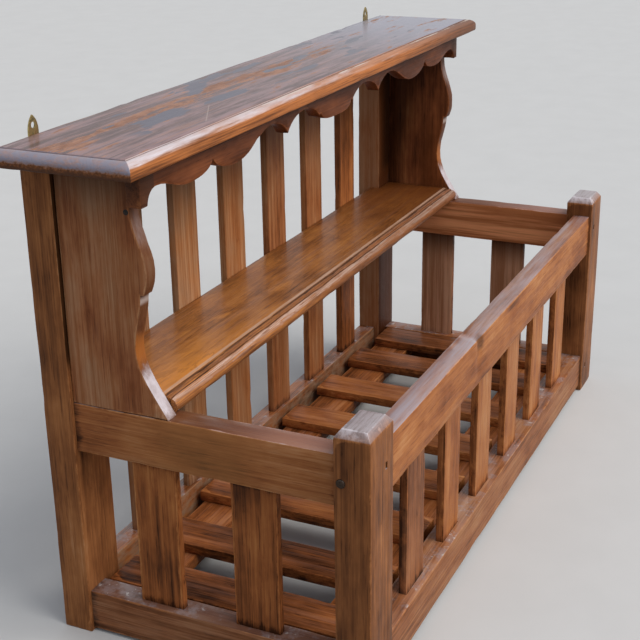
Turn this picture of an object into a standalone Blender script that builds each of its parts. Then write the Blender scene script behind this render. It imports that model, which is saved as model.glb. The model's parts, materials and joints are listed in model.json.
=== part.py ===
"""Rustic slatted standing rack: an open crib below, a display shelf and a moulded top board above.

Metres, +Z up. X runs along the length and -Y is the front. The origin lies on the floor, under the
middle of the overall box. Every rail, slat, board, peg and fitting is its own object.
"""

import math

import bmesh
import bpy
from mathutils import Matrix, Vector
from mathutils.geometry import interpolate_bezier

# Fits
CLEARANCE = 0.0003
CUT_OVERRUN = 0.002

# Overall
LENGTH_OVER_RAILS = 0.9585
DEPTH_OVER_POSTS = 0.402
TOP_BOARD_UNDERSIDE = 0.576

# Posts
FRONT_POST_WIDTH = 0.062
FRONT_POST_DEPTH = 0.0414
FRONT_POST_HEIGHT = 0.334
FRONT_POST_PROUD = 0.012
FRONT_POST_CHAMFER_RUN = 0.0065
FRONT_POST_CHAMFER_DROP = 0.009
BACK_POST_WIDTH = 0.065
BACK_POST_DEPTH = 0.038
BACK_POST_PROUD = 0.0045

# Rails
SIDE_RAIL_THICKNESS = 0.031
SIDE_TOP_RAIL_HEIGHT = 0.060
SIDE_TOP_RAIL_TOP = 0.300
SIDE_BOTTOM_RAIL_HEIGHT = 0.051
SIDE_BOTTOM_RAIL_TOP = 0.055
FRONT_RAIL_SETBACK = 0.0038
FRONT_TOP_RAIL_THICKNESS = 0.0263
FRONT_TOP_RAIL_HEIGHT = 0.063
FRONT_TOP_RAIL_TOP = 0.3054
FRONT_BOTTOM_RAIL_THICKNESS = 0.0337
FRONT_BOTTOM_RAIL_HEIGHT = 0.053
FRONT_BOTTOM_RAIL_TOP = 0.063
BACK_RAIL_SETBACK = 0.009
BACK_RAIL_THICKNESS = 0.027
BACK_TOP_RAIL_HEIGHT = 0.056
BACK_BOTTOM_RAIL_HEIGHT = 0.053
BACK_BOTTOM_RAIL_TOP = 0.063

# Tenons on rails, posts and side boards
TENON_THICKNESS = 0.010
TENON_SHOULDER = 0.010
SIDE_TENON_LENGTH = 0.018
FRONT_TENON_WALL = 0.0035
BACK_TENON_WALL = 0.016
POST_TOP_TENON_WIDTH = 0.030
POST_TOP_TENON_DEPTH = 0.016
BOARD_TENON_LENGTH = 0.050
BOARD_TENON_THICKNESS = 0.008
BOARD_TENON_HEIGHT = 0.014
TOP_TENON_COVER = 0.008

# Upright slats
SLAT_WIDTH = 0.056
SLAT_THICKNESS = 0.010
SLAT_HOUSED = 0.012
FRONT_SLAT_COUNT = 6
FRONT_SLAT_SETBACK = 0.0107
FRONT_SLAT_GAP_LEFT = 0.0796
FRONT_SLAT_GAP_RIGHT = 0.0907
BACK_SLAT_COUNT = 6
BACK_SLAT_SETBACK = 0.0055
BACK_SLAT_GAP_LEFT = 0.0695
BACK_SLAT_GAP_RIGHT = 0.074
SIDE_SLAT_COUNT = 2
SIDE_SLAT_SETBACK = 0.0105
SIDE_SLAT_GAP_BACK = 0.065
SIDE_SLAT_GAP_FRONT = 0.0767

# Floor of the crib
FLOOR_SLAT_COUNT = 8
FLOOR_SLAT_WIDTH = 0.058
FLOOR_SLAT_THICKNESS = 0.014
FLOOR_SLAT_SIDE_GAP = 0.002
FLOOR_SLAT_END_BAY = 0.047
FLOOR_SLAT_BACK_GAP = 0.007
FLOOR_SLAT_FRONT_GAP = 0.012
FLOOR_SLAT_POST_GAP = 0.005
LEDGER_THICKNESS = 0.016
LEDGER_HOUSED = 0.010
LEDGER_POST_GAP = 0.004
FRONT_LEDGER_WIDTH = 0.057
BACK_LEDGER_WIDTH = 0.060

# Side boards, measured forward from the back posts and up from the side rails
SIDE_BOARD_THICKNESS = 0.018
SIDE_BOARD_NECK = 0.092
SIDE_BOARD_BULGE = 0.108
SIDE_BOARD_LIP = 0.1025
SIDE_BOARD_STEP = 0.0985
SIDE_BOARD_WAIST = 0.088
SIDE_BOARD_FOOT = 0.1235
SIDE_BOARD_NECK_HEIGHT = 0.232
SIDE_BOARD_BULGE_HEIGHT = 0.166
SIDE_BOARD_STEP_HEIGHT = 0.140
SIDE_BOARD_WAIST_HEIGHT = 0.078

# Display shelf
SHELF_THICKNESS = 0.0197
SHELF_NOSE_OVERHANG = 0.0005
SHELF_GROOVE_FROM_NOSE = 0.0155
SHELF_GROOVE_WIDTH = 0.003
SHELF_GROOVE_DEPTH = 0.0018
SHELF_NOSE_DROP = 0.0105

# Apron
APRON_THICKNESS = 0.0185
APRON_END_PROUD = 0.006
APRON_DROP = 0.039
APRON_ARCH_DROP = 0.013
APRON_POINT_DROP = 0.033
APRON_NOTCH_DROP = 0.027
APRON_NOTCH_LIP = 0.004
APRON_CUSP_DROP = 0.022
APRON_SMALL_LOBE_DROP = 0.036

# Top board
TOP_BOARD_THICKNESS = 0.019
TOP_BOARD_FRONT_OVERHANG = 0.018
TOP_BOARD_END_OVERHANG = 0.048
TOP_NOSE_EASE = 0.0015
TOP_NOSE_HEIGHT = 0.009
TOP_OVOLO_RUN = 0.0125
TOP_QUIRK_RUN = 0.0025
TOP_QUIRK_DEPTH = 0.0008
TOP_STEP = 0.0008

# Pegs through the front posts
ROUND_PEG_RADIUS = 0.005
ROUND_PEG_PROUD = 0.002
ROUND_PEG_INSET = 0.0082
ROUND_PEG_DROP = 0.0253
SQUARE_PEG_WIDTH = 0.0045
SQUARE_PEG_HEIGHT = 0.008
SQUARE_PEG_SUNK = 0.0015
SQUARE_PEG_FROM_TENON_END = 0.0062
SQUARE_PEG_DROP = 0.0229
PEG_PAST_TENON = 0.003
PEG_SIDES = 16

# Wall hangers on the back posts
HANGER_WIDTH = 0.017
HANGER_THICKNESS = 0.002
HANGER_RISE = 0.021
HANGER_LENGTH = 0.080
HANGER_POINT_LENGTH = 0.018
HANGER_EYE_RADIUS = 0.0035
HANGER_EYE_DROP = 0.011
HANGER_INSET = 0.0265
SCREW_HEAD_RADIUS = 0.0032
SCREW_HEAD_HEIGHT = 0.0012
SCREW_SHANK_RADIUS = 0.0016
SCREW_LENGTH = 0.018
SCREW_POINT_LENGTH = 0.0055
SCREW_HEAD_FLAT = 0.0022
SCREW_BELOW_BOARD = 0.008
SCREW_ABOVE_PLATE_END = 0.006
EYE_SIDES = 24

# Curved stretches of an outline: points on each, and the share of a run that a round's handles take
CURVE_POINTS = 7
ROUND_HANDLE = 0.55

# Places that several pieces share
HALF_LENGTH = LENGTH_OVER_RAILS / 2
REAR_STACK = CLEARANCE + HANGER_THICKNESS + CLEARANCE + SCREW_HEAD_HEIGHT
FRONT_Y = -(DEPTH_OVER_POSTS + REAR_STACK) / 2
BACK_Y = FRONT_Y + DEPTH_OVER_POSTS
FRONT_POST_BACK_Y = FRONT_Y + FRONT_POST_DEPTH
BACK_POST_FRONT_Y = BACK_Y - BACK_POST_DEPTH
FRONT_RAIL_Y = FRONT_Y + FRONT_RAIL_SETBACK
BACK_RAIL_Y = BACK_POST_FRONT_Y + BACK_RAIL_SETBACK
FRONT_POST_INNER_X = HALF_LENGTH + FRONT_POST_PROUD - FRONT_POST_WIDTH
BACK_POST_INNER_X = HALF_LENGTH + BACK_POST_PROUD - BACK_POST_WIDTH
SIDE_RAIL_INNER_X = HALF_LENGTH - SIDE_RAIL_THICKNESS
SIDE_BOARD_INNER_X = HALF_LENGTH - SIDE_BOARD_THICKNESS
SIDE_TENON_INNER_X = HALF_LENGTH - (SIDE_RAIL_THICKNESS + TENON_THICKNESS) / 2
FRONT_TENON_LENGTH = SIDE_TENON_INNER_X - FRONT_TENON_WALL - FRONT_POST_INNER_X
BACK_TENON_LENGTH = SIDE_TENON_INNER_X - BACK_TENON_WALL - BACK_POST_INNER_X
SHELF_TOP = SIDE_TOP_RAIL_TOP + CLEARANCE + SHELF_THICKNESS
APRON_BACK_Y = BACK_POST_FRONT_Y - SIDE_BOARD_NECK - CLEARANCE
APRON_FRONT_Y = APRON_BACK_Y - APRON_THICKNESS
TOP_BOARD_TOP = TOP_BOARD_UNDERSIDE + TOP_BOARD_THICKNESS
UNDER_TOP_BOARD = TOP_BOARD_UNDERSIDE - CLEARANCE
TOP_TENON_HEIGHT = TOP_BOARD_THICKNESS - TOP_TENON_COVER
SIDES = {"left": -1, "right": 1}


def clear_scene():
    for item in list(bpy.data.objects):
        bpy.data.objects.remove(item, do_unlink=True)


def make_material(name, colour, roughness, metallic=0.0):
    material = bpy.data.materials.new(name)
    material.use_nodes = True
    shader = material.node_tree.nodes["Principled BSDF"]
    shader.inputs["Base Color"].default_value = (*colour, 1.0)
    shader.inputs["Roughness"].default_value = roughness
    shader.inputs["Metallic"].default_value = metallic
    material.diffuse_color = (*colour, 1.0)
    return material


def make_materials():
    return {
        "post": make_material("post_wood", (0.150, 0.060, 0.026), 0.45),
        "rail": make_material("rail_wood", (0.180, 0.072, 0.029), 0.45),
        "slat": make_material("slat_wood", (0.165, 0.070, 0.030), 0.50),
        "floor": make_material("floor_wood", (0.170, 0.068, 0.027), 0.50),
        "board": make_material("board_wood", (0.140, 0.055, 0.024), 0.45),
        "shelf": make_material("shelf_wood", (0.210, 0.085, 0.030), 0.40),
        "top": make_material("top_wood", (0.200, 0.110, 0.075), 0.40),
        "peg": make_material("peg_wood", (0.090, 0.042, 0.022), 0.55),
        "brass": make_material("hanger_brass", (0.500, 0.380, 0.160), 0.40, 1.0),
        "screw": make_material("screw_brass", (0.450, 0.340, 0.150), 0.35, 1.0),
    }


# Shapes

def add_object(name, mesh_data, material=None):
    """Turn a bmesh into a named object with outward faces."""
    bmesh.ops.recalc_face_normals(mesh_data, faces=mesh_data.faces)
    mesh = bpy.data.meshes.new(name)
    mesh_data.to_mesh(mesh)
    mesh_data.free()
    item = bpy.data.objects.new(name, mesh)
    bpy.context.collection.objects.link(item)
    if material:
        mesh.materials.append(material)
    return item


def add_box(mesh_data, low, high):
    """Add a closed box between two corners to a bmesh."""
    low = Vector(low)
    high = Vector(high)
    place = Matrix.Translation((low + high) / 2) @ Matrix.Diagonal((*(high - low), 1.0))
    bmesh.ops.create_cube(mesh_data, size=1.0, matrix=place)


def boxes(corner_pairs):
    mesh_data = bmesh.new()
    for low, high in corner_pairs:
        add_box(mesh_data, low, high)
    return mesh_data


def loft(rings):
    """Skin a run of four-cornered rings and close both ends."""
    mesh_data = bmesh.new()
    loops = [[mesh_data.verts.new(point) for point in corners] for corners in rings]
    for first, second in zip(loops, loops[1:]):
        for index in range(len(first)):
            mesh_data.faces.new((first[index - 1], first[index], second[index], second[index - 1]))
    mesh_data.faces.new(loops[0])
    mesh_data.faces.new(loops[-1])
    return mesh_data


def ring(axis, at, across, up):
    """Four corners of a rectangle that stands square to an axis."""
    corners = [(across[0], up[0]), (across[1], up[0]), (across[1], up[1]), (across[0], up[1])]
    points = []
    for first, second in corners:
        point = [first, second]
        point.insert(axis, at)
        points.append(Vector(point))
    return points


def prism(outline, axis, start, end):
    """Extrude a flat outline along an axis."""
    mesh_data = bmesh.new()
    corners = []
    for first, second in outline:
        point = [first, second]
        point.insert(axis, start)
        corners.append(mesh_data.verts.new(point))
    face = mesh_data.faces.new(corners)
    move = Vector((0.0, 0.0, 0.0))
    move[axis] = end - start
    grown = bmesh.ops.extrude_face_region(mesh_data, geom=[face], use_keep_orig=True)
    moved = [item for item in grown["geom"] if isinstance(item, bmesh.types.BMVert)]
    bmesh.ops.translate(mesh_data, verts=moved, vec=move)
    return mesh_data


def turned(profile, centre, axis, sides):
    """Spin a (radius, distance) profile, axis end to axis end, round a line through a centre."""
    mesh_data = bmesh.new()
    along = Vector(axis)
    outward = along.orthogonal().normalized()
    points = [Vector(centre) + outward * radius + along * far for radius, far in profile]
    chain = [mesh_data.verts.new(point) for point in points]
    edges = [mesh_data.edges.new(pair) for pair in zip(chain, chain[1:])]
    bmesh.ops.spin(mesh_data, geom=chain + edges, cent=centre, axis=along, angle=math.tau,
                   steps=sides, use_merge=True)
    bmesh.ops.remove_doubles(mesh_data, verts=mesh_data.verts, dist=1e-6)
    return mesh_data


def curve(start, first_handle, second_handle, end):
    """Points along a cubic curve, without its first point."""
    knots = [Vector((*point, 0.0)) for point in (start, first_handle, second_handle, end)]
    return [(point.x, point.y) for point in interpolate_bezier(*knots, CURVE_POINTS + 1)[1:]]


def grow(corner_pair, amount=CLEARANCE):
    low, high = corner_pair
    margin = Vector((amount, amount, amount))
    return Vector(low) - margin, Vector(high) + margin


def combine(target, mesh_data, operation):
    """Cut a shape from an object, or fuse it on, with a hidden helper."""
    helper = add_object(f"{target.name}_{operation.lower()}_{len(target.modifiers)}", mesh_data)
    helper.hide_render = True
    helper.hide_set(True)
    helper.display_type = "WIRE"
    modifier = target.modifiers.new(operation.title(), "BOOLEAN")
    modifier.operation = operation
    modifier.solver = "EXACT"
    modifier.object = helper


def cut_for(target, solids):
    """Cut a seat for each neighbouring box, with the named clearance all round."""
    combine(target, boxes([grow(solid) for solid in solids]), "DIFFERENCE")


def mirrored(side, near, far):
    """An X span given from the middle outwards, placed on one side."""
    return tuple(sorted((side * near, side * far)))


def middle_span(low, high, width):
    centre = (low + high) / 2
    return centre - width / 2, centre + width / 2


# Posts and rails

def tenoned_bar(name, axis, span, across, up, tenon_across, tenon_up, length, material):
    """A bar with a stub tenon on both ends. Returns the object and its two tenon boxes."""
    low, high = span
    stations = [
        (low - length, tenon_across, tenon_up),
        (low, tenon_across, tenon_up),
        (low, across, up),
        (high, across, up),
        (high, tenon_across, tenon_up),
        (high + length, tenon_across, tenon_up),
    ]
    item = add_object(name, loft([ring(axis, *station) for station in stations]), material)
    ends = [(low - length, low + CUT_OVERRUN), (high - CUT_OVERRUN, high + length)]
    tenons = []
    for start, end in ends:
        near = ring(axis, start, tenon_across, tenon_up)[0]
        far = ring(axis, end, tenon_across, tenon_up)[2]
        tenons.append((near, far))
    return item, tenons


def make_front_post(name, side, material):
    outer = HALF_LENGTH + FRONT_POST_PROUD
    x_span = mirrored(side, FRONT_POST_INNER_X, outer)
    y_span = (FRONT_Y, FRONT_POST_BACK_Y)
    run = FRONT_POST_CHAMFER_RUN
    top_x = (x_span[0] + run, x_span[1] - run)
    top_y = (y_span[0] + run, y_span[1] - run)
    rings = [
        ring(2, 0.0, x_span, y_span),
        ring(2, FRONT_POST_HEIGHT - FRONT_POST_CHAMFER_DROP, x_span, y_span),
        ring(2, FRONT_POST_HEIGHT, top_x, top_y),
    ]
    return add_object(name, loft(rings), material)


def back_post_box(side):
    x_span = mirrored(side, BACK_POST_INNER_X, HALF_LENGTH + BACK_POST_PROUD)
    return (x_span[0], BACK_POST_FRONT_Y, 0.0), (x_span[1], BACK_Y, UNDER_TOP_BOARD)


def post_top_tenon(side):
    low, high = back_post_box(side)
    x_span = middle_span(low[0], high[0], POST_TOP_TENON_WIDTH)
    y_span = middle_span(low[1], high[1], POST_TOP_TENON_DEPTH)
    return x_span, y_span, UNDER_TOP_BOARD + TOP_TENON_HEIGHT


def make_back_post(name, side, material):
    low, high = back_post_box(side)
    tenon_x, tenon_y, tenon_top = post_top_tenon(side)
    rings = [
        ring(2, low[2], (low[0], high[0]), (low[1], high[1])),
        ring(2, high[2], (low[0], high[0]), (low[1], high[1])),
        ring(2, high[2], tenon_x, tenon_y),
        ring(2, tenon_top, tenon_x, tenon_y),
    ]
    return add_object(name, loft(rings), material)


def make_side_rail(name, side, top, height, material):
    span = (FRONT_POST_BACK_Y + CLEARANCE, BACK_POST_FRONT_Y - CLEARANCE)
    across = mirrored(side, SIDE_RAIL_INNER_X, HALF_LENGTH)
    tenon_across = middle_span(*across, TENON_THICKNESS)
    up = (top - height, top)
    tenon_up = (up[0] + TENON_SHOULDER, up[1] - TENON_SHOULDER)
    return tenoned_bar(name, 1, span, across, up, tenon_across, tenon_up, SIDE_TENON_LENGTH, material)


def make_long_rail(name, inner_x, face_y, thickness, top, height, tenon_length, material):
    span = (-inner_x + CLEARANCE, inner_x - CLEARANCE)
    across = (face_y, face_y + thickness)
    tenon_across = middle_span(*across, TENON_THICKNESS)
    up = (top - height, top)
    tenon_up = (up[0] + TENON_SHOULDER, up[1] - TENON_SHOULDER)
    return tenoned_bar(name, 0, span, across, up, tenon_across, tenon_up, tenon_length, material)


def make_frame(materials):
    """Four posts and eight rails, each rail tenoned into its two posts."""
    pieces = {}
    tenons = {}
    for word, side in SIDES.items():
        pieces[f"front_{word}_post"] = make_front_post(f"front_{word}_post", side, materials["post"])
        pieces[f"back_{word}_post"] = make_back_post(f"back_{word}_post", side, materials["post"])
    for word, side in SIDES.items():
        levels = {
            "top": (SIDE_TOP_RAIL_TOP, SIDE_TOP_RAIL_HEIGHT),
            "bottom": (SIDE_BOTTOM_RAIL_TOP, SIDE_BOTTOM_RAIL_HEIGHT),
        }
        for level, (top, height) in levels.items():
            name = f"{word}_{level}_rail"
            pieces[name], tenons[name] = make_side_rail(name, side, top, height, materials["rail"])
    long_rails = {
        "front_top_rail": (FRONT_POST_INNER_X, FRONT_RAIL_Y, FRONT_TOP_RAIL_THICKNESS,
                           FRONT_TOP_RAIL_TOP, FRONT_TOP_RAIL_HEIGHT, FRONT_TENON_LENGTH),
        "front_bottom_rail": (FRONT_POST_INNER_X, FRONT_RAIL_Y, FRONT_BOTTOM_RAIL_THICKNESS,
                              FRONT_BOTTOM_RAIL_TOP, FRONT_BOTTOM_RAIL_HEIGHT, FRONT_TENON_LENGTH),
        "back_top_rail": (BACK_POST_INNER_X, BACK_RAIL_Y, BACK_RAIL_THICKNESS,
                          UNDER_TOP_BOARD, BACK_TOP_RAIL_HEIGHT, BACK_TENON_LENGTH),
        "back_bottom_rail": (BACK_POST_INNER_X, BACK_RAIL_Y, BACK_RAIL_THICKNESS,
                             BACK_BOTTOM_RAIL_TOP, BACK_BOTTOM_RAIL_HEIGHT, BACK_TENON_LENGTH),
    }
    for name, sizes in long_rails.items():
        pieces[name], tenons[name] = make_long_rail(name, *sizes, materials["rail"])
    for index, word in enumerate(SIDES):
        for row, end in (("front", 0), ("back", 1)):
            seats = [tenons[f"{word}_{level}_rail"][end] for level in ("top", "bottom")]
            seats += [tenons[f"{row}_{level}_rail"][index] for level in ("top", "bottom")]
            cut_for(pieces[f"{row}_{word}_post"], seats)
    return pieces


# Upright slats

def slat_starts(low, high, gap_low, gap_high, count, width):
    """Lower edges of a row of slats between two end gaps, evenly spaced between them."""
    first = low + gap_low
    last = high - gap_high - width
    return [first + (last - first) * index / (count - 1) for index in range(count)]


def make_slats(row, boxes_of_slats, bottom_rail, top_rail, material):
    for index, (low, high) in enumerate(boxes_of_slats, start=1):
        add_object(f"{row}_slat_{index}", boxes([(low, high)]), material)
    cut_for(bottom_rail, boxes_of_slats)
    cut_for(top_rail, boxes_of_slats)


def make_long_slats(pieces, row, inner_x, face_y, gaps, count, levels, material):
    z_span = (levels[0] - SLAT_HOUSED, levels[1] + SLAT_HOUSED)
    y_span = (face_y, face_y + SLAT_THICKNESS)
    solids = []
    for start in slat_starts(-inner_x, inner_x, *gaps, count, SLAT_WIDTH):
        solids.append(((start, y_span[0], z_span[0]), (start + SLAT_WIDTH, y_span[1], z_span[1])))
    make_slats(row, solids, pieces[f"{row}_bottom_rail"], pieces[f"{row}_top_rail"], material)


def make_side_slats(pieces, word, side, material):
    outer = HALF_LENGTH - SIDE_SLAT_SETBACK
    x_span = mirrored(side, outer - SLAT_THICKNESS, outer)
    z_span = (SIDE_BOTTOM_RAIL_TOP - SLAT_HOUSED,
              SIDE_TOP_RAIL_TOP - SIDE_TOP_RAIL_HEIGHT + SLAT_HOUSED)
    solids = []
    for start in slat_starts(FRONT_POST_BACK_Y, BACK_POST_FRONT_Y, SIDE_SLAT_GAP_FRONT,
                             SIDE_SLAT_GAP_BACK, SIDE_SLAT_COUNT, SLAT_WIDTH):
        solids.append(((x_span[0], start, z_span[0]), (x_span[1], start + SLAT_WIDTH, z_span[1])))
    make_slats(word, solids, pieces[f"{word}_bottom_rail"], pieces[f"{word}_top_rail"], material)


def make_all_slats(pieces, materials):
    front_levels = (FRONT_BOTTOM_RAIL_TOP, FRONT_TOP_RAIL_TOP - FRONT_TOP_RAIL_HEIGHT)
    front_gaps = (FRONT_SLAT_GAP_LEFT, FRONT_SLAT_GAP_RIGHT)
    make_long_slats(pieces, "front", FRONT_POST_INNER_X, FRONT_RAIL_Y + FRONT_SLAT_SETBACK,
                    front_gaps, FRONT_SLAT_COUNT, front_levels, materials["slat"])
    back_levels = (BACK_BOTTOM_RAIL_TOP, UNDER_TOP_BOARD - BACK_TOP_RAIL_HEIGHT)
    back_gaps = (BACK_SLAT_GAP_LEFT, BACK_SLAT_GAP_RIGHT)
    make_long_slats(pieces, "back", BACK_POST_INNER_X, BACK_RAIL_Y + BACK_SLAT_SETBACK,
                    back_gaps, BACK_SLAT_COUNT, back_levels, materials["slat"])
    for word, side in SIDES.items():
        make_side_slats(pieces, word, side, materials["slat"])


# Floor of the crib

def make_floor(pieces, materials):
    """Loose-laid slats on two ledgers that are housed in the side bottom rails."""
    slat_bottom = SIDE_BOTTOM_RAIL_TOP - FLOOR_SLAT_THICKNESS
    ledger_top = slat_bottom - CLEARANCE
    reach = SIDE_RAIL_INNER_X + LEDGER_HOUSED
    front_start = FRONT_POST_BACK_Y + LEDGER_POST_GAP
    back_end = BACK_POST_FRONT_Y - LEDGER_POST_GAP
    spans = {
        "front_floor_ledger": (front_start, front_start + FRONT_LEDGER_WIDTH),
        "back_floor_ledger": (back_end - BACK_LEDGER_WIDTH, back_end),
    }
    ledgers = []
    for name, (near, far) in spans.items():
        solid = ((-reach, near, ledger_top - LEDGER_THICKNESS), (reach, far, ledger_top))
        add_object(name, boxes([solid]), materials["floor"])
        ledgers.append(solid)
    for word in SIDES:
        cut_for(pieces[f"{word}_bottom_rail"], ledgers)
    front_edge = FRONT_RAIL_Y + FRONT_BOTTOM_RAIL_THICKNESS
    slat_front = front_edge + FLOOR_SLAT_FRONT_GAP
    slat_back = BACK_RAIL_Y - FLOOR_SLAT_BACK_GAP
    slat_back_at_post = BACK_POST_FRONT_Y - FLOOR_SLAT_POST_GAP
    first = -SIDE_RAIL_INNER_X + FLOOR_SLAT_SIDE_GAP
    last = SIDE_RAIL_INNER_X - FLOOR_SLAT_SIDE_GAP - FLOOR_SLAT_WIDTH
    end_pitch = FLOOR_SLAT_WIDTH + FLOOR_SLAT_END_BAY
    inner = slat_starts(first + end_pitch, last - end_pitch, 0.0, -FLOOR_SLAT_WIDTH,
                        FLOOR_SLAT_COUNT - 2, FLOOR_SLAT_WIDTH)
    for index, start in enumerate([first, *inner, last], start=1):
        at_post = start + FLOOR_SLAT_WIDTH > BACK_POST_INNER_X or start < -BACK_POST_INNER_X
        end = slat_back_at_post if at_post else slat_back
        solid = ((start, slat_front, slat_bottom), (start + FLOOR_SLAT_WIDTH, end, SIDE_BOTTOM_RAIL_TOP))
        add_object(f"floor_slat_{index}", boxes([solid]), materials["floor"])


# Shelf unit above the crib

def side_board_outline():
    """Front edge of a side board from the top down, as (Y, Z), then its back edge."""
    rear = BACK_POST_FRONT_Y - CLEARANCE
    bottom = SIDE_TOP_RAIL_TOP + CLEARANCE
    neck = (BACK_POST_FRONT_Y - SIDE_BOARD_NECK, bottom + SIDE_BOARD_NECK_HEIGHT)
    bulge = (BACK_POST_FRONT_Y - SIDE_BOARD_BULGE, bottom + SIDE_BOARD_BULGE_HEIGHT)
    lip = (BACK_POST_FRONT_Y - SIDE_BOARD_LIP, bottom + SIDE_BOARD_STEP_HEIGHT)
    step = (BACK_POST_FRONT_Y - SIDE_BOARD_STEP, bottom + SIDE_BOARD_STEP_HEIGHT)
    waist = (BACK_POST_FRONT_Y - SIDE_BOARD_WAIST, bottom + SIDE_BOARD_WAIST_HEIGHT)
    foot = (BACK_POST_FRONT_Y - SIDE_BOARD_FOOT, bottom)
    upper = (neck[1] - bulge[1]) / 3
    lower = (bulge[1] - lip[1]) / 2
    middle = (step[1] - waist[1]) / 3
    flare = (waist[1] - foot[1]) / 3
    flare_y = (waist[0] * 2 + foot[0]) / 3
    points = [(neck[0], UNDER_TOP_BOARD), neck]
    points += curve(neck, (neck[0], neck[1] - upper), (bulge[0], bulge[1] + upper), bulge)
    points += curve(bulge, (bulge[0], bulge[1] - lower), ((bulge[0] + lip[0]) / 2, lip[1] + lower / 2),
                    lip)
    points.append(step)
    points += curve(step, (step[0], step[1] - middle), (waist[0], waist[1] + middle), waist)
    points += curve(waist, (waist[0], waist[1] - flare), (flare_y, foot[1] + flare * 3 / 2), foot)
    points += [(rear, bottom), (rear, UNDER_TOP_BOARD)]
    return points


def board_tenons(side):
    """Boxes of a side board's bottom and top tenons, each rooted a little inside the board."""
    x_span = middle_span(*mirrored(side, SIDE_BOARD_INNER_X, HALF_LENGTH), BOARD_TENON_THICKNESS)
    y_span = middle_span(BACK_POST_FRONT_Y - SIDE_BOARD_WAIST, BACK_POST_FRONT_Y, BOARD_TENON_LENGTH)
    bottom = SIDE_TOP_RAIL_TOP + CLEARANCE
    low_z = (bottom - BOARD_TENON_HEIGHT, bottom + CUT_OVERRUN)
    high_z = (UNDER_TOP_BOARD - CUT_OVERRUN, UNDER_TOP_BOARD + TOP_TENON_HEIGHT)
    return [((x_span[0], y_span[0], z[0]), (x_span[1], y_span[1], z[1])) for z in (low_z, high_z)]


def make_side_boards(pieces, materials):
    top_tenons = []
    for word, side in SIDES.items():
        x_span = mirrored(side, SIDE_BOARD_INNER_X, HALF_LENGTH)
        board = add_object(f"{word}_side_board", prism(side_board_outline(), 0, *x_span), materials["board"])
        tenons = board_tenons(side)
        combine(board, boxes(tenons), "UNION")
        cut_for(pieces[f"{word}_top_rail"], tenons[:1])
        top_tenons.append(tenons[1])
    return top_tenons


def shelf_outline():
    """Section of the shelf as (Y, Z): square back, grooved and rounded front edge."""
    back = BACK_RAIL_Y + BACK_SLAT_SETBACK - CLEARANCE
    nose = BACK_POST_FRONT_Y - SIDE_BOARD_FOOT - SHELF_NOSE_OVERHANG
    bottom = SIDE_TOP_RAIL_TOP + CLEARANCE
    groove = nose + SHELF_GROOVE_FROM_NOSE
    groove_floor = (groove - SHELF_GROOVE_WIDTH / 2, SHELF_TOP - SHELF_GROOVE_DEPTH)
    bead = (groove - SHELF_GROOVE_WIDTH, SHELF_TOP - SHELF_GROOVE_DEPTH / 3)
    tip = (nose, SHELF_TOP - SHELF_NOSE_DROP)
    run = bead[0] - tip[0]
    under = (nose + run / 2, bottom)
    points = [(back, bottom), (back, SHELF_TOP), (groove, SHELF_TOP), groove_floor, bead]
    drop = bead[1] - tip[1]
    points += curve(bead, (bead[0] - run * ROUND_HANDLE, bead[1]),
                    (tip[0], tip[1] + drop * ROUND_HANDLE), tip)
    points += curve(tip, (tip[0], (tip[1] + bottom) / 2), ((tip[0] + under[0]) / 2, bottom), under)
    return points


def make_shelf(materials):
    half = SIDE_BOARD_INNER_X - CLEARANCE
    shelf = add_object("display_shelf", prism(shelf_outline(), 0, -half, half), materials["shelf"])
    cut_for(shelf, [back_post_box(side) for side in SIDES.values()])


def apron_edge():
    """Scalloped lower edge from the middle to the right end, as (X, drop below the top board).

    The places along the edge are shares of its half length, so the pattern follows the length.
    A stretch of four points is a curve with its two handles, and a stretch of two is straight.
    """
    half = HALF_LENGTH + APRON_END_PROUD
    lip = APRON_NOTCH_DROP + APRON_NOTCH_LIP
    stretches = [
        ((0.000, APRON_DROP), (0.046, APRON_DROP), (0.079, APRON_DROP), (0.096, lip)),
        ((0.096, lip), (0.103, APRON_NOTCH_DROP)),
        ((0.103, APRON_NOTCH_DROP), (0.110, lip)),
        ((0.110, lip), (0.125, 0.020), (0.158, APRON_ARCH_DROP), (0.202, APRON_ARCH_DROP)),
        ((0.202, APRON_ARCH_DROP), (0.245, APRON_ARCH_DROP), (0.283, 0.020), (0.301, APRON_POINT_DROP)),
        ((0.301, APRON_POINT_DROP), (0.320, 0.020), (0.357, APRON_ARCH_DROP), (0.395, APRON_ARCH_DROP)),
        ((0.395, APRON_ARCH_DROP), (0.461, APRON_ARCH_DROP), (0.499, APRON_DROP), (0.578, APRON_DROP)),
        ((0.578, APRON_DROP), (0.632, APRON_DROP), (0.673, 0.034), (0.690, APRON_CUSP_DROP)),
        ((0.690, APRON_CUSP_DROP), (0.702, 0.032), (0.744, APRON_SMALL_LOBE_DROP),
         (0.798, APRON_SMALL_LOBE_DROP)),
        ((0.798, APRON_SMALL_LOBE_DROP), (0.852, APRON_SMALL_LOBE_DROP), (0.881, APRON_CUSP_DROP),
         (0.935, APRON_CUSP_DROP)),
        ((0.935, APRON_CUSP_DROP), (0.956, APRON_CUSP_DROP), (0.970, 0.029), (0.973, APRON_DROP)),
    ]
    edge = [(0.0, APRON_DROP)]
    for knots in stretches:
        placed = [(share * half, drop) for share, drop in knots]
        edge += curve(*placed) if len(placed) == 4 else placed[1:]
    edge.append((half, APRON_DROP))
    return edge


def make_apron(materials):
    edge = apron_edge()
    half = edge[-1][0]
    lower = [(-x, UNDER_TOP_BOARD - drop) for x, drop in reversed(edge)]
    lower += [(x, UNDER_TOP_BOARD - drop) for x, drop in edge[1:]]
    outline = [(-half, UNDER_TOP_BOARD), *lower, (half, UNDER_TOP_BOARD)]
    add_object("apron", prism(outline, 1, APRON_FRONT_Y, APRON_BACK_Y), materials["board"])


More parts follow.
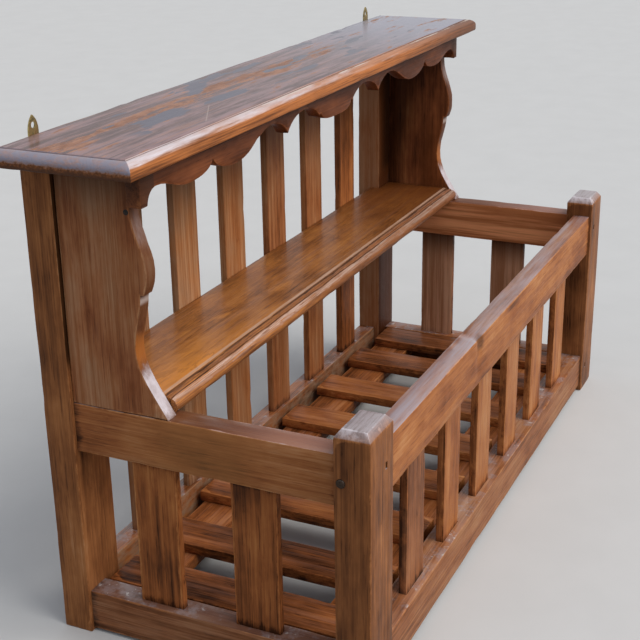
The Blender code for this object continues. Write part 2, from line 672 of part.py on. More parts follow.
def top_board_profile():
    """Moulded edge as (inset from the outermost line, height above the underside)."""
    shoulder = TOP_BOARD_THICKNESS - TOP_STEP
    nose = (0.0, TOP_NOSE_HEIGHT)
    shoulder_end = (TOP_OVOLO_RUN, shoulder)
    rise = shoulder - TOP_NOSE_HEIGHT
    profile = [(TOP_NOSE_EASE, 0.0), (0.0, TOP_NOSE_EASE), nose]
    profile += curve(nose, (0.0, TOP_NOSE_HEIGHT + rise * ROUND_HANDLE),
                     (TOP_OVOLO_RUN * (1 - ROUND_HANDLE), shoulder), shoulder_end)
    profile.append((TOP_OVOLO_RUN + TOP_QUIRK_RUN / 2, shoulder - TOP_QUIRK_DEPTH))
    profile.append((TOP_OVOLO_RUN + TOP_QUIRK_RUN, TOP_BOARD_THICKNESS))
    return profile


def make_top_board(board_top_tenons, materials):
    """Board with its moulding mitred round the front and both ends, and a plain back edge."""
    half = HALF_LENGTH + TOP_BOARD_END_OVERHANG
    front = APRON_FRONT_Y - TOP_BOARD_FRONT_OVERHANG
    rings = []
    for inset, height in top_board_profile():
        x_span = (-half + inset, half - inset)
        rings.append(ring(2, TOP_BOARD_UNDERSIDE + height, x_span, (front + inset, BACK_Y)))
    board = add_object("top_board", loft(rings), materials["top"])
    seats = list(board_top_tenons)
    for side in SIDES.values():
        x_span, y_span, top = post_top_tenon(side)
        low = (x_span[0], y_span[0], UNDER_TOP_BOARD - CUT_OVERRUN)
        seats.append((low, (x_span[1], y_span[1], top)))
    cut_for(board, seats)


# Pegs

def make_round_peg(name, side, height, post, rail, material):
    """A turned peg driven in through a front post's outer face and the side rail's tenon."""
    face = HALF_LENGTH + FRONT_POST_PROUD
    depth = face - SIDE_TENON_INNER_X + PEG_PAST_TENON
    y = FRONT_POST_BACK_Y - ROUND_PEG_INSET
    centre = (side * face, y, height)
    inward = (-side, 0.0, 0.0)
    ease = ROUND_PEG_PROUD / 2
    profile = [(0.0, -ROUND_PEG_PROUD), (ROUND_PEG_RADIUS - ease, -ROUND_PEG_PROUD),
               (ROUND_PEG_RADIUS, -ROUND_PEG_PROUD + ease), (ROUND_PEG_RADIUS, depth), (0.0, depth)]
    add_object(name, turned(profile, centre, inward, PEG_SIDES), material)
    radius = ROUND_PEG_RADIUS + CLEARANCE
    end = depth + CLEARANCE
    hole = [(0.0, -CUT_OVERRUN), (radius, -CUT_OVERRUN), (radius, end), (0.0, end)]
    for target in (post, rail):
        combine(target, turned(hole, centre, inward, PEG_SIDES), "DIFFERENCE")


def make_square_peg(name, side, height, rail_thickness, post, rail, material):
    """A small squared peg, sunk in a front post's front face and through the front rail's tenon."""
    x = side * (FRONT_POST_INNER_X + FRONT_TENON_LENGTH - SQUARE_PEG_FROM_TENON_END)
    tenon_back = FRONT_RAIL_Y + (rail_thickness + TENON_THICKNESS) / 2
    x_span = middle_span(x, x, SQUARE_PEG_WIDTH)
    z_span = middle_span(height, height, SQUARE_PEG_HEIGHT)
    end = tenon_back + PEG_PAST_TENON
    solid = ((x_span[0], FRONT_Y + SQUARE_PEG_SUNK, z_span[0]), (x_span[1], end, z_span[1]))
    add_object(name, boxes([solid]), material)
    hole = ((x_span[0], FRONT_Y - CUT_OVERRUN, z_span[0]), solid[1])
    for target in (post, rail):
        cut_for(target, [hole])


def make_pegs(pieces, materials):
    side_heights = {
        "top": SIDE_TOP_RAIL_TOP - ROUND_PEG_DROP,
        "bottom": SIDE_BOTTOM_RAIL_TOP - ROUND_PEG_DROP,
    }
    front_heights = {
        "top": (FRONT_TOP_RAIL_TOP - SQUARE_PEG_DROP, FRONT_TOP_RAIL_THICKNESS),
        "bottom": (FRONT_BOTTOM_RAIL_TOP - SQUARE_PEG_DROP, FRONT_BOTTOM_RAIL_THICKNESS),
    }
    for word, side in SIDES.items():
        post = pieces[f"front_{word}_post"]
        for level, height in side_heights.items():
            make_round_peg(f"{word}_{level}_side_peg", side, height, post,
                           pieces[f"{word}_{level}_rail"], materials["peg"])
        for level, (height, thickness) in front_heights.items():
            make_square_peg(f"{word}_{level}_front_peg", side, height, thickness, post,
                            pieces[f"front_{level}_rail"], materials["peg"])


# Wall hangers

def hanger_outline(centre_x):
    """Flat strip with a pointed head, as (X, Z)."""
    half = HANGER_WIDTH / 2
    tip = TOP_BOARD_TOP + HANGER_RISE
    shoulder = tip - HANGER_POINT_LENGTH
    bottom = tip - HANGER_LENGTH
    bend = HANGER_POINT_LENGTH * ROUND_HANDLE
    lean = half * (1 - ROUND_HANDLE)
    right = (centre_x + half, shoulder)
    left = (centre_x - half, shoulder)
    peak = (centre_x, tip)
    points = [(centre_x - half, bottom), (centre_x + half, bottom), right]
    points += curve(right, (right[0], shoulder + bend), (centre_x + lean, tip - bend / 3), peak)
    points += curve(peak, (centre_x - lean, tip - bend / 3), (left[0], shoulder + bend), left)
    return points


def make_hanger(word, side, post, materials):
    centre_x = side * (HALF_LENGTH - HANGER_INSET)
    near = BACK_Y + CLEARANCE
    far = near + HANGER_THICKNESS
    plate = add_object(f"{word}_hanger", prism(hanger_outline(centre_x), 1, near, far), materials["brass"])
    tip = TOP_BOARD_TOP + HANGER_RISE
    eye_height = tip - HANGER_EYE_DROP
    backward = (0.0, 1.0, 0.0)
    eye = [(0.0, -CUT_OVERRUN), (HANGER_EYE_RADIUS, -CUT_OVERRUN),
           (HANGER_EYE_RADIUS, HANGER_THICKNESS + CUT_OVERRUN), (0.0, HANGER_THICKNESS + CUT_OVERRUN)]
    combine(plate, turned(eye, (centre_x, near, eye_height), backward, EYE_SIDES), "DIFFERENCE")
    seat = far + CLEARANCE
    shank = SCREW_SHANK_RADIUS
    bore = shank + CLEARANCE
    screw_profile = [(0.0, SCREW_HEAD_HEIGHT), (SCREW_HEAD_FLAT, SCREW_HEAD_HEIGHT),
                     (SCREW_HEAD_RADIUS, SCREW_HEAD_HEIGHT / 2), (SCREW_HEAD_RADIUS, 0.0), (shank, 0.0),
                     (shank, SCREW_POINT_LENGTH - SCREW_LENGTH), (0.0, -SCREW_LENGTH)]
    bore_profile = [(0.0, CUT_OVERRUN), (bore, CUT_OVERRUN), (bore, -SCREW_LENGTH - CLEARANCE),
                    (0.0, -SCREW_LENGTH - CLEARANCE)]
    heights = (TOP_BOARD_UNDERSIDE - SCREW_BELOW_BOARD, tip - HANGER_LENGTH + SCREW_ABOVE_PLATE_END)
    for index, height in enumerate(heights, start=1):
        centre = (centre_x, seat, height)
        add_object(f"{word}_hanger_screw_{index}",
                   turned(screw_profile, centre, backward, PEG_SIDES), materials["screw"])
        for target in (plate, post):
            combine(target, turned(bore_profile, centre, backward, PEG_SIDES), "DIFFERENCE")


def main():
    clear_scene()
    materials = make_materials()
    pieces = make_frame(materials)
    make_all_slats(pieces, materials)
    make_floor(pieces, materials)
    board_top_tenons = make_side_boards(pieces, materials)
    make_shelf(materials)
    make_apron(materials)
    make_top_board(board_top_tenons, materials)
    make_pegs(pieces, materials)
    for word, side in SIDES.items():
        make_hanger(word, side, pieces[f"back_{word}_post"], materials)


main()
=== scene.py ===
"""Looks of a rustic slatted rack: worn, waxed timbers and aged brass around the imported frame.

Metres, in the frame's own axes: X along the length, -Y the front, +Z up. Each CAD timber is replaced
by a worn copy with eased arrises, and its material reads the grain that the copy carries.
"""

import json
import math
import random
from collections import namedtuple

import bmesh
import bpy
from mathutils import Matrix, Vector, kdtree, noise


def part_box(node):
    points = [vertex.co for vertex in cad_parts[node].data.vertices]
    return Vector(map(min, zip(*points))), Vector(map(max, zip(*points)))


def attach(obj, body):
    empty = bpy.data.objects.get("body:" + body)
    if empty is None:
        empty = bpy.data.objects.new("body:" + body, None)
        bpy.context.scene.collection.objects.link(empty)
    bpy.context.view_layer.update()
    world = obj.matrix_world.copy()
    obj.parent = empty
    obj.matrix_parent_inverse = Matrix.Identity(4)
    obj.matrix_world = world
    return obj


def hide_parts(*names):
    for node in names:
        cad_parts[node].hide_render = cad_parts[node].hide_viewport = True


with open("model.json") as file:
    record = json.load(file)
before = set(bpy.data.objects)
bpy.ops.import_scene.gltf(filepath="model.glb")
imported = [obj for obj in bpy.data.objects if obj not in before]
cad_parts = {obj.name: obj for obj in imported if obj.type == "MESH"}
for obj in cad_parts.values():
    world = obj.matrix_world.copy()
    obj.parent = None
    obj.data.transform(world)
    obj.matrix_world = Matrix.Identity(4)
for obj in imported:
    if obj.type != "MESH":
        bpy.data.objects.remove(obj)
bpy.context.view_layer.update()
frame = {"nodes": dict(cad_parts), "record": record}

# A noise: its pitch per metre along each axis, detail and roughness, the values it steps between,
# if it does, and its twist
Pattern = namedtuple("Pattern", "pitch detail roughness steps twist", defaults=(None, 0.0))

# A coat of colour, and how much of it covers what is below
Coat = namedtuple("Coat", "share colour")

# What a finish knows of the timber under it
Surface = namedtuple("Surface", "start place along deep height upward streak scuff rubbed")

# Camera, solved from the photograph's straight edges, for an image of 640 x 640 pixels
CAMERA_PLACE = (-1.5285, -0.6354, 0.8928)
CAMERA_HEADING = math.radians(64.9106)
CAMERA_DIP = math.radians(21.1597)
CAMERA_ROLL = math.radians(0.8942)
FOCAL_PIXELS = 1269.69
IMAGE_PIXELS = 640
SENSOR_WIDTH = 36.0

# Stage: what shows behind the floor and in reflections, the floor, the sky's light and the sun
BACKDROP = (0.63, 0.64, 0.66)
FLOOR_SIZE = 20.0
FLOOR_MOTTLE = Pattern((9.0, 9.0, 9.0), 5.0, 0.6)
FLOOR_SHADES = ((0.55, 0.55, 0.54), (0.61, 0.61, 0.60))
FLOOR_SHED = (0.18, 0.18, 0.18)
FLOOR_ROUGHNESS = 0.9
SKY_SHADES = ((0.02, 0.02, 0.022), (0.78, 0.83, 0.92))
SKY_MIDDLE = 0.5
SKY_FROM_LEFT = 0.03
SKY_FROM_FRONT = 0.42
SKY_FROM_ABOVE = 0.25
SUN_HEADING = 8.0
SUN_HEIGHT = 46.0
SUN_STRENGTH = 2.2
SUN_SPREAD = 50.0
SUN_TINT = (1.0, 0.95, 0.89)

# Welding and slicing of the timbers
WELD = 1e-5
FLAT_ANGLE = math.radians(0.5)
ARRIS_ANGLE = math.radians(25)
OUTSIDE = 2e-5
UNJOINTED = 1.0
SLICE_ALONG = 0.016
SLICE_ACROSS = 0.012
ARRIS_STEP = 0.004
ARRIS_SEGMENTS = 2

# Pieces cut to a shape, on which an arris needs only one outer face
SHAPED = {"left_side_board", "right_side_board", "apron", "display_shelf", "top_board", "left_hanger",
          "right_hanger"}

# How far arrises are eased, dented and hewn on small pieces, on slender timbers and on stout ones
EASED = {"small": 0.0005, "slender": 0.0008, "stout": 0.0012}
DENTED = {"small": 0.0005, "slender": 0.0025, "stout": 0.0025}
HEWN = {"small": 0.0, "slender": 0.0, "stout": 0.0016}

# Hand of the maker and of time on the timbers
WAVE_SIZE = 0.00015
WAVE_PITCH = 14.0
DENT_PITCH = 55.0
DENT_START = 0.3
DENT_REACH = 0.006
HEWN_PITCH = 11.0

# Grooves along the shelf's nose, measured from its tip
SHELF_GROOVES = (0.0160, 0.0085)
GROOVE_HALF = 0.0018
GROOVE_DEPTH = 0.0018
GROOVE_TOP = 0.2

# Battering of the shelf's nose: its slices, how often hollows come along each axis, and how deep
NOSE_STEP = 0.004
NOSE_PITCH = (24.0, 140.0, 140.0)
NOSE_HOLLOW = 0.0016
NICK_PITCH = 3.0
NICK_START = 0.2

# Nails in the side boards, by the ends of the apron
NAIL_PLACE = (0.0734, 0.5298)
NAIL_PROFILE = ((0.0, 0.0003), (0.0018, 0.0002), (0.0031, 0.0001), (0.0034, -0.0008))
NAIL_STEPS = 20

# A chip out of the front top rail's outer arris: where along it, how long, how deep and where it is cut
RAIL_CHIP = -0.134
CHIP_REACH = 0.016
CHIP_DEPTH = 0.0050
CHIP_CUTS = (-1.0, -0.6, -0.2, 0.2, 0.6, 1.0)

# What each timber's points carry for the wood, besides the grain
MARKS = ("arris", "joint", "narrow", "tone", "dull", "grimy")

# Where in the log a timber is cut from: the reach of chance along, across and through the grain
LOG_ALONG = (0, 40)
LOG_ACROSS = (-0.025, 0.025)
LOG_THROUGH = (0.015, 0.06)
WEAR_SHIFT = (0, 50)

# How pale each timber is, with the stain's own tone in the middle, and how dull, from 0 to 1.
# The others get a tone near the middle by chance
TONES = {
    "front_left_post": (0.48, 0.0),
    "front_top_rail": (0.75, 0.0),
    "front_bottom_rail": (0.60, 0.6),
    "front_slat_1": (0.45, 0.4),
    "front_slat_2": (0.65, 0.1),
    "front_slat_3": (0.80, 0.2),
    "front_slat_4": (0.80, 0.2),
    "front_slat_5": (0.85, 0.1),
    "front_slat_6": (0.85, 0.1),
    "left_top_rail": (0.74, 0.35),
    "left_bottom_rail": (0.50, 0.8),
    "left_side_board": (0.95, 0.6),
    "apron": (0.08, 0.0),
    "back_slat_1": (0.95, 1.0),
    "back_slat_2": (1.20, 1.0),
    "back_slat_3": (1.05, 0.8),
    "back_slat_4": (0.75, 0.6),
    "back_slat_5": (0.82, 0.6),
    "back_right_post": (1.25, 0.2),
    "right_side_board": (0.40, 0.0),
    "right_top_rail": (1.05, 0.0),
    "right_slat_1": (1.20, 0.6),
    "right_slat_2": (1.20, 0.6),
    "floor_slat_1": (0.32, 0.0),
    "floor_slat_2": (0.36, 0.0),
    "floor_slat_3": (0.56, 0.0),
    "floor_slat_4": (0.68, 0.0),
    "floor_slat_5": (0.68, 0.0),
    "floor_slat_6": (0.66, 0.0),
    "floor_slat_7": (0.40, 0.0),
    "floor_slat_8": (0.36, 0.0),
}
TONE_MIDDLE = 0.5
TONE_SPREAD = 0.15
# Painted shade on narrow faces between slats; on the back slats it is turned round and paints them lighter
BACK_NARROW_LIFT = -0.6
APRON_END_LIFT = 0.4

# Timbers of the right end, pale and dull only on the side that looks into the rack: painted light on those
# inner faces
RIGHT_END_LIT_INSIDE = ("right_", "back_right_post")

# Stains, each from its darkest tone to its palest, at these levels
STAIN_LEVELS = (0.18, 0.36, 0.52, 0.70, 0.95)
BROWN = ((0.040, 0.014, 0.006), (0.140, 0.050, 0.018), (0.245, 0.090, 0.031), (0.38, 0.150, 0.052),
         (0.52, 0.27, 0.13))
ORANGE = ((0.040, 0.013, 0.005), (0.170, 0.054, 0.017), (0.315, 0.101, 0.030), (0.46, 0.170, 0.051),
          (0.60, 0.29, 0.12))
RUSSET = ((0.040, 0.012, 0.005), (0.150, 0.046, 0.017), (0.265, 0.084, 0.030), (0.40, 0.145, 0.050),
          (0.54, 0.26, 0.12))
GOLDEN = ((0.060, 0.021, 0.006), (0.190, 0.066, 0.018), (0.330, 0.122, 0.030), (0.48, 0.20, 0.050),
          (0.62, 0.34, 0.14))
SMOKY = ((0.012, 0.008, 0.006), (0.030, 0.019, 0.013), (0.058, 0.038, 0.027), (0.09, 0.06, 0.04),
         (0.14, 0.10, 0.07))

# Wood: its growth rings, the patterns along its grain, and how far each moves the stain's level
RING_WIDTH = 0.0030
RING_WANDER = Pattern((3.0, 24.0, 24.0), 4.0, 0.6)
WANDER_ACROSS = 0.08
WANDER_THROUGH = 0.05
LATE_WOOD = (0.25, 0.90)
RING_END = (0.93, 1.00)
CLOUD = Pattern((9.0, 20.0, 20.0), 4.0, 0.6)
STREAK = Pattern((3.0, 95.0, 95.0), 5.0, 0.64)
VEIN = Pattern((5.0, 210.0, 210.0), 3.0, 0.6)
FIBRE = Pattern((10.0, 480.0, 480.0), 2.0, 0.65)
PORE = Pattern((22.0, 430.0, 430.0), 2.0, 0.5, (0.58, 0.70))
SCUFF = Pattern((60.0, 130.0, 130.0), 4.0, 0.7)
GRAIN_PATTERNS = (CLOUD, STREAK, VEIN, FIBRE, PORE, SCUFF)
RUBBED_ARRIS = (0.0003, 0.0024)
ARRIS_RAGGED = 0.007
SOILED_JOINT = (0.0, 0.010)
JOINT_STREAKY = 0.012
JOINT_RAGGED = 0.02
VEIN_PULL = 0.35
FIBRE_PULL = 0.32
TONE_PULL = 0.5
GRIMY_PULL = 0.38
SOILED_PULL = 0.25
PORE_PULL = 0.14
SCUFF_DARK = (0.60, 0.74)
SCUFF_PULL = 0.09
DULL_SHARE = 0.45
DULL_STEPS = (0.36, 0.66)
DULL_SHADES = ((0.125, 0.066, 0.038), (0.300, 0.182, 0.118))
# Grey painted on faces that look up: a painted sheen of the sky
PAINTED_SHEEN_GREY = (0.38, 0.33, 0.34)
WOOD_ROUGHNESS = 0.44
WAX_LEAST = 0.04
WAX_ROUGHNESS = 0.22
WOOD_SPECULAR = 0.065
GRAIN_BUMP = {"Strength": 0.4, "Distance": 0.0007}

# The part of a face's normal over which it comes to look up, or down an axis
LOOKS_UP = (0.30, 0.90)
LOOKS_DOWN_AXIS = (-0.65, -0.25)

# A margin as fine as a hair, for lines between two finishes
HAIR = 0.0005

# The top board's film: lilac partly from a painted sheen, worn to orange at the left, painted bluer to the
# right, with painted reflections in pools given by their lengths and depths
FILM_PATCH = Pattern((11.0, 85.0, 1.0), 6.0, 0.70)
# Lilac of the film: partly its own colour, partly a painted sheen
FILM_SHADES = ((0.095, 0.047, 0.042), (0.290, 0.178, 0.182))
FILM_STEPS = (0.32, 0.68)
FILM_THIN = Pattern((6.0, 260.0, 1.0), 4.0, 0.65, (0.53, 0.66))
THIN_ORANGE = Coat(0.6, (0.34, 0.155, 0.095))
FILM_STREAKS = Pattern((8.0, 190.0, 1.0), 5.0, 0.7, (0.55, 0.68))
DARK_STREAK = Coat(0.65, (0.060, 0.033, 0.032))
FILM_RIGHT = (0.0, 0.5)
# Bluer film to the right: a painted sheen
RIGHT_PAINTED_SHEEN = Coat(0.88, (0.30, 0.300, 0.370))
WORN_LEFT = (-0.05, 0.35)
WORN_DEPTH = (0.120, 0.156)
WORN_SOFT = 0.014
WORN_PULL = 0.15
WORN_STEPS = (0.60, 0.63)
WORN_TONES = (0.6, 1.0)
WORN_SHADES = ((0.22, 0.090, 0.045), (0.40, 0.20, 0.125))
POOL_CHANCE = Pattern((9.0, 36.0, 1.0), 3.0, 0.5)
POOLS = (
    ((-0.378, -0.268), (0.101, 0.127)),
    ((-0.233, -0.154), (0.098, 0.116)),
    ((-0.056, 0.049), (0.090, 0.109)),
)
POOL_SOFT = (0.015, 0.006)
POOL_PULL = 0.18
POOL_STEPS = (0.595, 0.612)
POOL_FRONT = (0.078, 0.090)
POOL_SPAN = (-0.415, 0.380)
POOL_SPAN_SOFT = 0.020
# Blue of the pools: a painted reflection
POOL_PAINTED_REFLECTION = (0.100, 0.092, 0.125)
SCRATCH_START = (-0.3300, 0.0602)
SCRATCH_END = (-0.2528, 0.1000)
SCRATCH_HALF = 0.0012
SCRATCH_SOFT = 0.0008
SCRATCH_FADE = 0.004
SCRATCH_PALE = Coat(0.35, (0.62, 0.50, 0.42))

# The top board's moulding: its width, the heights of its round, and its colours, with a painted highlight
# on the round
MOULDING_WIDTH = 0.0150
MOULDING_ROUND = (0.5845, 0.5935)
MOULDING_RAGGED = Pattern((16.0, 90.0, 260.0), 5.0, 0.65)
MOULDING_LINES = Pattern((9.0, 300.0, 420.0), 4.0, 0.65)
MOULDING_SHADES = ((0.13, 0.041, 0.014), (0.50, 0.172, 0.050))
MOULDING_BRIGHT = (-0.30, 0.40)
MOULDING_BRIGHT_SOFT = 0.15
# Tan and near white on the moulding's round, lilac-grey on its left end: a painted highlight
TAN_HIGHLIGHT_RISE = (0.30, 0.70)
MOULDING_TAN_HIGHLIGHT = (0.46, 0.27, 0.190)
HIGHLIGHT_RISE = (0.50, 0.88)
MOULDING_PAINTED_HIGHLIGHT = ((0.66, 0.59, 0.61), (0.27, 0.25, 0.30))
MOULDING_MATT = (-0.48, -0.34)
DARK_SPAN = (0.12, 0.50)
DARK_RIGHT = Coat(0.8, (0.130, 0.062, 0.040))
DARK_END = Coat(0.9, (0.085, 0.040, 0.024))
END_RISE = 0.006
RISE_RAGGED = 0.006
MOULDING_FLECKS = Pattern((15.0, 420.0, 700.0), 3.0, 0.6, (0.52, 0.68))
DARK_FLECK = Coat(0.5, (0.075, 0.026, 0.012))
QUIRK = (MOULDING_WIDTH - 0.0026, MOULDING_WIDTH - 0.0006)
QUIRK_BROWN = (0.10, 0.045, 0.030)
FLAKE_LINE = (MOULDING_WIDTH - 0.0058, MOULDING_WIDTH - 0.0030)
FLAKE_SOFT = 0.0008
FLAKE_STEPS = (0.48, 0.58)
FLAKE_SPAN = (-0.35, -0.10)
FLAKE_PALE = Coat(0.8, (0.66, 0.56, 0.48))

# The shelf's top, from orange at the left front to red-brown at the right, painted light and shade, and its
# nose with painted highlights
SHELF_SWIRL = Pattern((7.0, 30.0, 1.0), 4.0, 0.6, None, 1.2)
SHELF_FAR = (0.0, 0.5)
FAR_SHARE = 0.9
SHELF_NEAR = (-0.22, 0.26)
# Painted shade towards the shelf's right end, painted light at its left front
SHELF_RED_PAINTED_SHADE = (0.105, 0.028, 0.006)
SHELF_ORANGE_PAINTED_LIGHT = (0.64, 0.240, 0.042)
SWIRL_LINE = (0.55, 0.60)
SWIRL_SOFT = 0.03
SWIRL_DARK = Coat(0.35, (0.120, 0.042, 0.014))
SHELF_FILLET = (0.0182, 0.0225)
# Pale fillet and bead on the shelf's nose: painted highlights
FILLET_PAINTED_HIGHLIGHT = (0.58, 0.37, 0.26)
SHELF_BEAD = 0.0068
BEAD_SPAN = (-0.35, 0.35)
BEAD_PAINTED_HIGHLIGHT = ((0.56, 0.37, 0.285), (0.32, 0.205, 0.145))
NOSE_EDGE = 0.001
NOSE_SOFT = 0.0008
NOSE_LINES = Pattern((14.0, 700.0, 700.0), 3.0, 0.6)
NOSE_BROWN = (0.270, 0.102, 0.042)
NOSE_BLOTCH = Pattern((15.0, 170.0, 170.0), 4.0, 0.65, (0.50, 0.66))
BLOTCH_DARK = Coat(0.6, (0.130, 0.052, 0.026))
GROOVE_LINES = (0.0012, 0.0008)
GROOVE_DARK = (0.040, 0.018, 0.010)

# The rails: bare wood, grime and dust on the bottom ones; a golden tint, painted highlights and painted
# light on the side ones; a painted lilac sheen on the front one
UPPER_START = (0.01, 0.02)
BARE_HALF = 0.002
BARE_WOOD = (0.33, 0.23, 0.15)
LEFT_RAIL = (-0.44, -0.42)
RAIL_GRIME = Coat(0.5, (0.100, 0.052, 0.046))
SETTLED = Pattern((28.0, 28.0, 28.0), 5.0, 0.7, (0.46, 0.62))
SETTLED_DUST = Coat(0.5, (0.30, 0.255, 0.26))
SPECKS = Pattern((120.0, 120.0, 120.0), 3.0, 0.6, (0.60, 0.66))
PALE_SPECK = Coat(0.7, (0.60, 0.57, 0.54))
BEHIND_FRONT_RAIL = 0.002
SIDE_TOP_SPAN = (-0.14, 0.01)
# Side rail tops: pale lilac at the front end is a painted highlight, dark red-brown towards the back
SIDE_TOP_HIGHLIGHT_TO_DARK = ((0.36, 0.19, 0.15), (0.080, 0.028, 0.016))
SIDE_TOP_ARRIS_HIGHLIGHT = (0.48, 0.38, 0.38)
RIGHT_RAIL = (0.440, 0.445)
RIGHT_RAIL_SHARE = 0.75
# The right rail's inner face made paler: painted light
RIGHT_RAIL_PAINTED_LIGHT = ((0.42, 0.140, 0.052), (0.92, 0.390, 0.175))
LEFT_OUTER_FACE = (-0.4790, -0.4770)
LEFT_PATCH = (-0.06, 0.06)
LEFT_PATCH_SOFT = 0.03
LEFT_PATCH_GOLD = (0.40, 0.170, 0.056)
# Streaks in the front top rail's painted sheen
SHEEN_STREAKS = Pattern((7.0, 90.0, 1.0), 5.0, 0.65)
CHIP_STEP = (RAIL_CHIP - 0.006, RAIL_CHIP + 0.009)
RIGHT_OF_CHIP = Coat(0.45, (0.160, 0.070, 0.050))
# Lilac on the front top rail's top: a painted sheen
LILAC_PAINTED_SHEEN = (0.38, 0.31, 0.33)
SMUDGE_START = 0.004
SMUDGE_DARK = Coat(0.6, (0.040, 0.022, 0.014))
RAIL_MATT = (-0.2, 0.3)

# The posts: saw marks and a painted grey sheen on their tops with painted highlights round the chamfers,
# and the back right one red inside with painted shade
SAW_MARKS = Pattern((22.0, 330.0, 60.0), 4.0, 0.65, (0.45, 0.68))
SAW_DARK = Coat(0.55, (0.16, 0.115, 0.105))
CAP_ARRIS_HIGHLIGHT = (0.66, 0.60, 0.63)
BACK_POSTS = (0.10, 0.12)
RIGHT_POSTS = (0.38, 0.40)
ABOVE_SHELF = (0.33, 0.36)
POST_RED = Coat(0.45, (0.170, 0.048, 0.022))
POST_FRONT_PAINTED_SHADE = ((0.048, 0.012, 0.003), (0.105, 0.030, 0.008))
POST_FRONT_SHARE = 0.85
POST_CORNER = (0.405, 0.450)
# Near black in corners: painted shade
CORNER_PAINTED_SHADE = Coat(0.85, (0.010, 0.0035, 0.0012))

# The side boards and the apron: painted shadow by height, painted shade by depth, painted light at the
# boards' inner feet, and painted light on the boards' front edges
BOARD_INNER_SIDE = 0.4600
BOARD_STARTS = (BOARD_INNER_SIDE - 0.002, BOARD_INNER_SIDE - 0.001)
BOARD_INSIDE_ENDS = (BOARD_INNER_SIDE + 0.001, BOARD_INNER_SIDE + 0.003)
TOP_SHADE = (0.5000, 0.5850)
# Painted shadow under the top board
UNDER_TOP_PAINTED_SHADOW = Coat(0.7, (0.040, 0.022, 0.015))
APRON_RED = Coat(0.35, (0.200, 0.052, 0.013))
APRON_SHADE = (0.5530, 0.5760)
# Painted shadow along the apron's top
APRON_PAINTED_SHADOW = Coat(0.65, (0.045, 0.015, 0.007))
FOOT_DEPTH = (0.07, 0.14)
FOOT_HEIGHT = (0.38, 0.50)
# Painted light on the lower front of the boards' inner faces
FOOT_PAINTED_LIGHT = Coat(0.5, (0.240, 0.070, 0.018))
# Painted shade towards the back and top of the boards' inner faces
INNER_SHADE_DEPTH = (0.085, 0.150)
INNER_SHADE_LEVEL = 0.42
INNER_SHADE_TILT = 0.25
# The boards' front edges: dark, with a painted sheen, glint, glow and highlight along the curve
EDGE_DARK = Coat(0.7, (0.080, 0.028, 0.012))
EDGE_SHEEN = (0.4950, 0.5250)
SHEEN_SOFT = 0.012
EDGE_SHEEN_GREY = (0.34, 0.27, 0.25)
EDGE_GLINT = (0.4300, 0.4370)
GLINT_SOFT = 0.003
GLINT_PALE = Coat(0.6, (0.62, 0.50, 0.44))
EDGE_GLOW = (0.3600, 0.3920)
GLOW_SOFT = 0.012
GLOW_ORANGE = Coat(0.8, (0.40, 0.125, 0.024))
EDGE_SHINE = (0.3040, 0.3510)
SHINE_SOFT = 0.010
SHINE_WHITE = (0.62, 0.55, 0.57)

# The slats: painted shadow deepens between these heights, and the right ones get painted light inside
BACK_SLATS = (0.155, 0.165)
BACK_SHADOW_HEIGHTS = (0.4000, 0.5100)
BACK_SHADOW_SHARE = 0.65
RIGHT_SLATS = (0.440, 0.450)
RIGHT_SLAT_SHARE = 0.6
RIGHT_SHADOW_HEIGHTS = (0.1850, 0.2400)
RIGHT_SHADOW_SHARE = 0.75
# Painted shadow on the slats under the apron and the right rail
SLAT_PAINTED_SHADOW = (0.030, 0.014, 0.008)
RIGHT_SLAT_PAINTED_LIGHT = ((0.37, 0.185, 0.105), (0.80, 0.480, 0.310))

# Streaks of the painted light on the right end's inner faces
TINT_STEPS = (0.38, 0.62)

# Metal
HANGER_BRASS = (0.50, 0.38, 0.16)
SCREW_BRASS = (0.45, 0.34, 0.15)
TARNISH = (0.16, 0.13, 0.06)
TARNISH_BLOTCH = Pattern((160.0, 160.0, 160.0), 4.0, 0.6, (0.42, 0.66))
BRASS_SCRATCH = Pattern((900.0, 900.0, 120.0), 2.0, 0.6)
BRASS_BUMP = {"Strength": 0.2, "Distance": 0.0003}
IRON_BLOTCH = Pattern((700.0, 700.0, 700.0), 4.0, 0.6)
RUST_STEPS = (0.45, 0.65)
IRON_SHADES = ((0.010, 0.009, 0.008), (0.035, 0.016, 0.009))
IRON_BUMP = {"Strength": 0.4, "Distance": 0.0003}


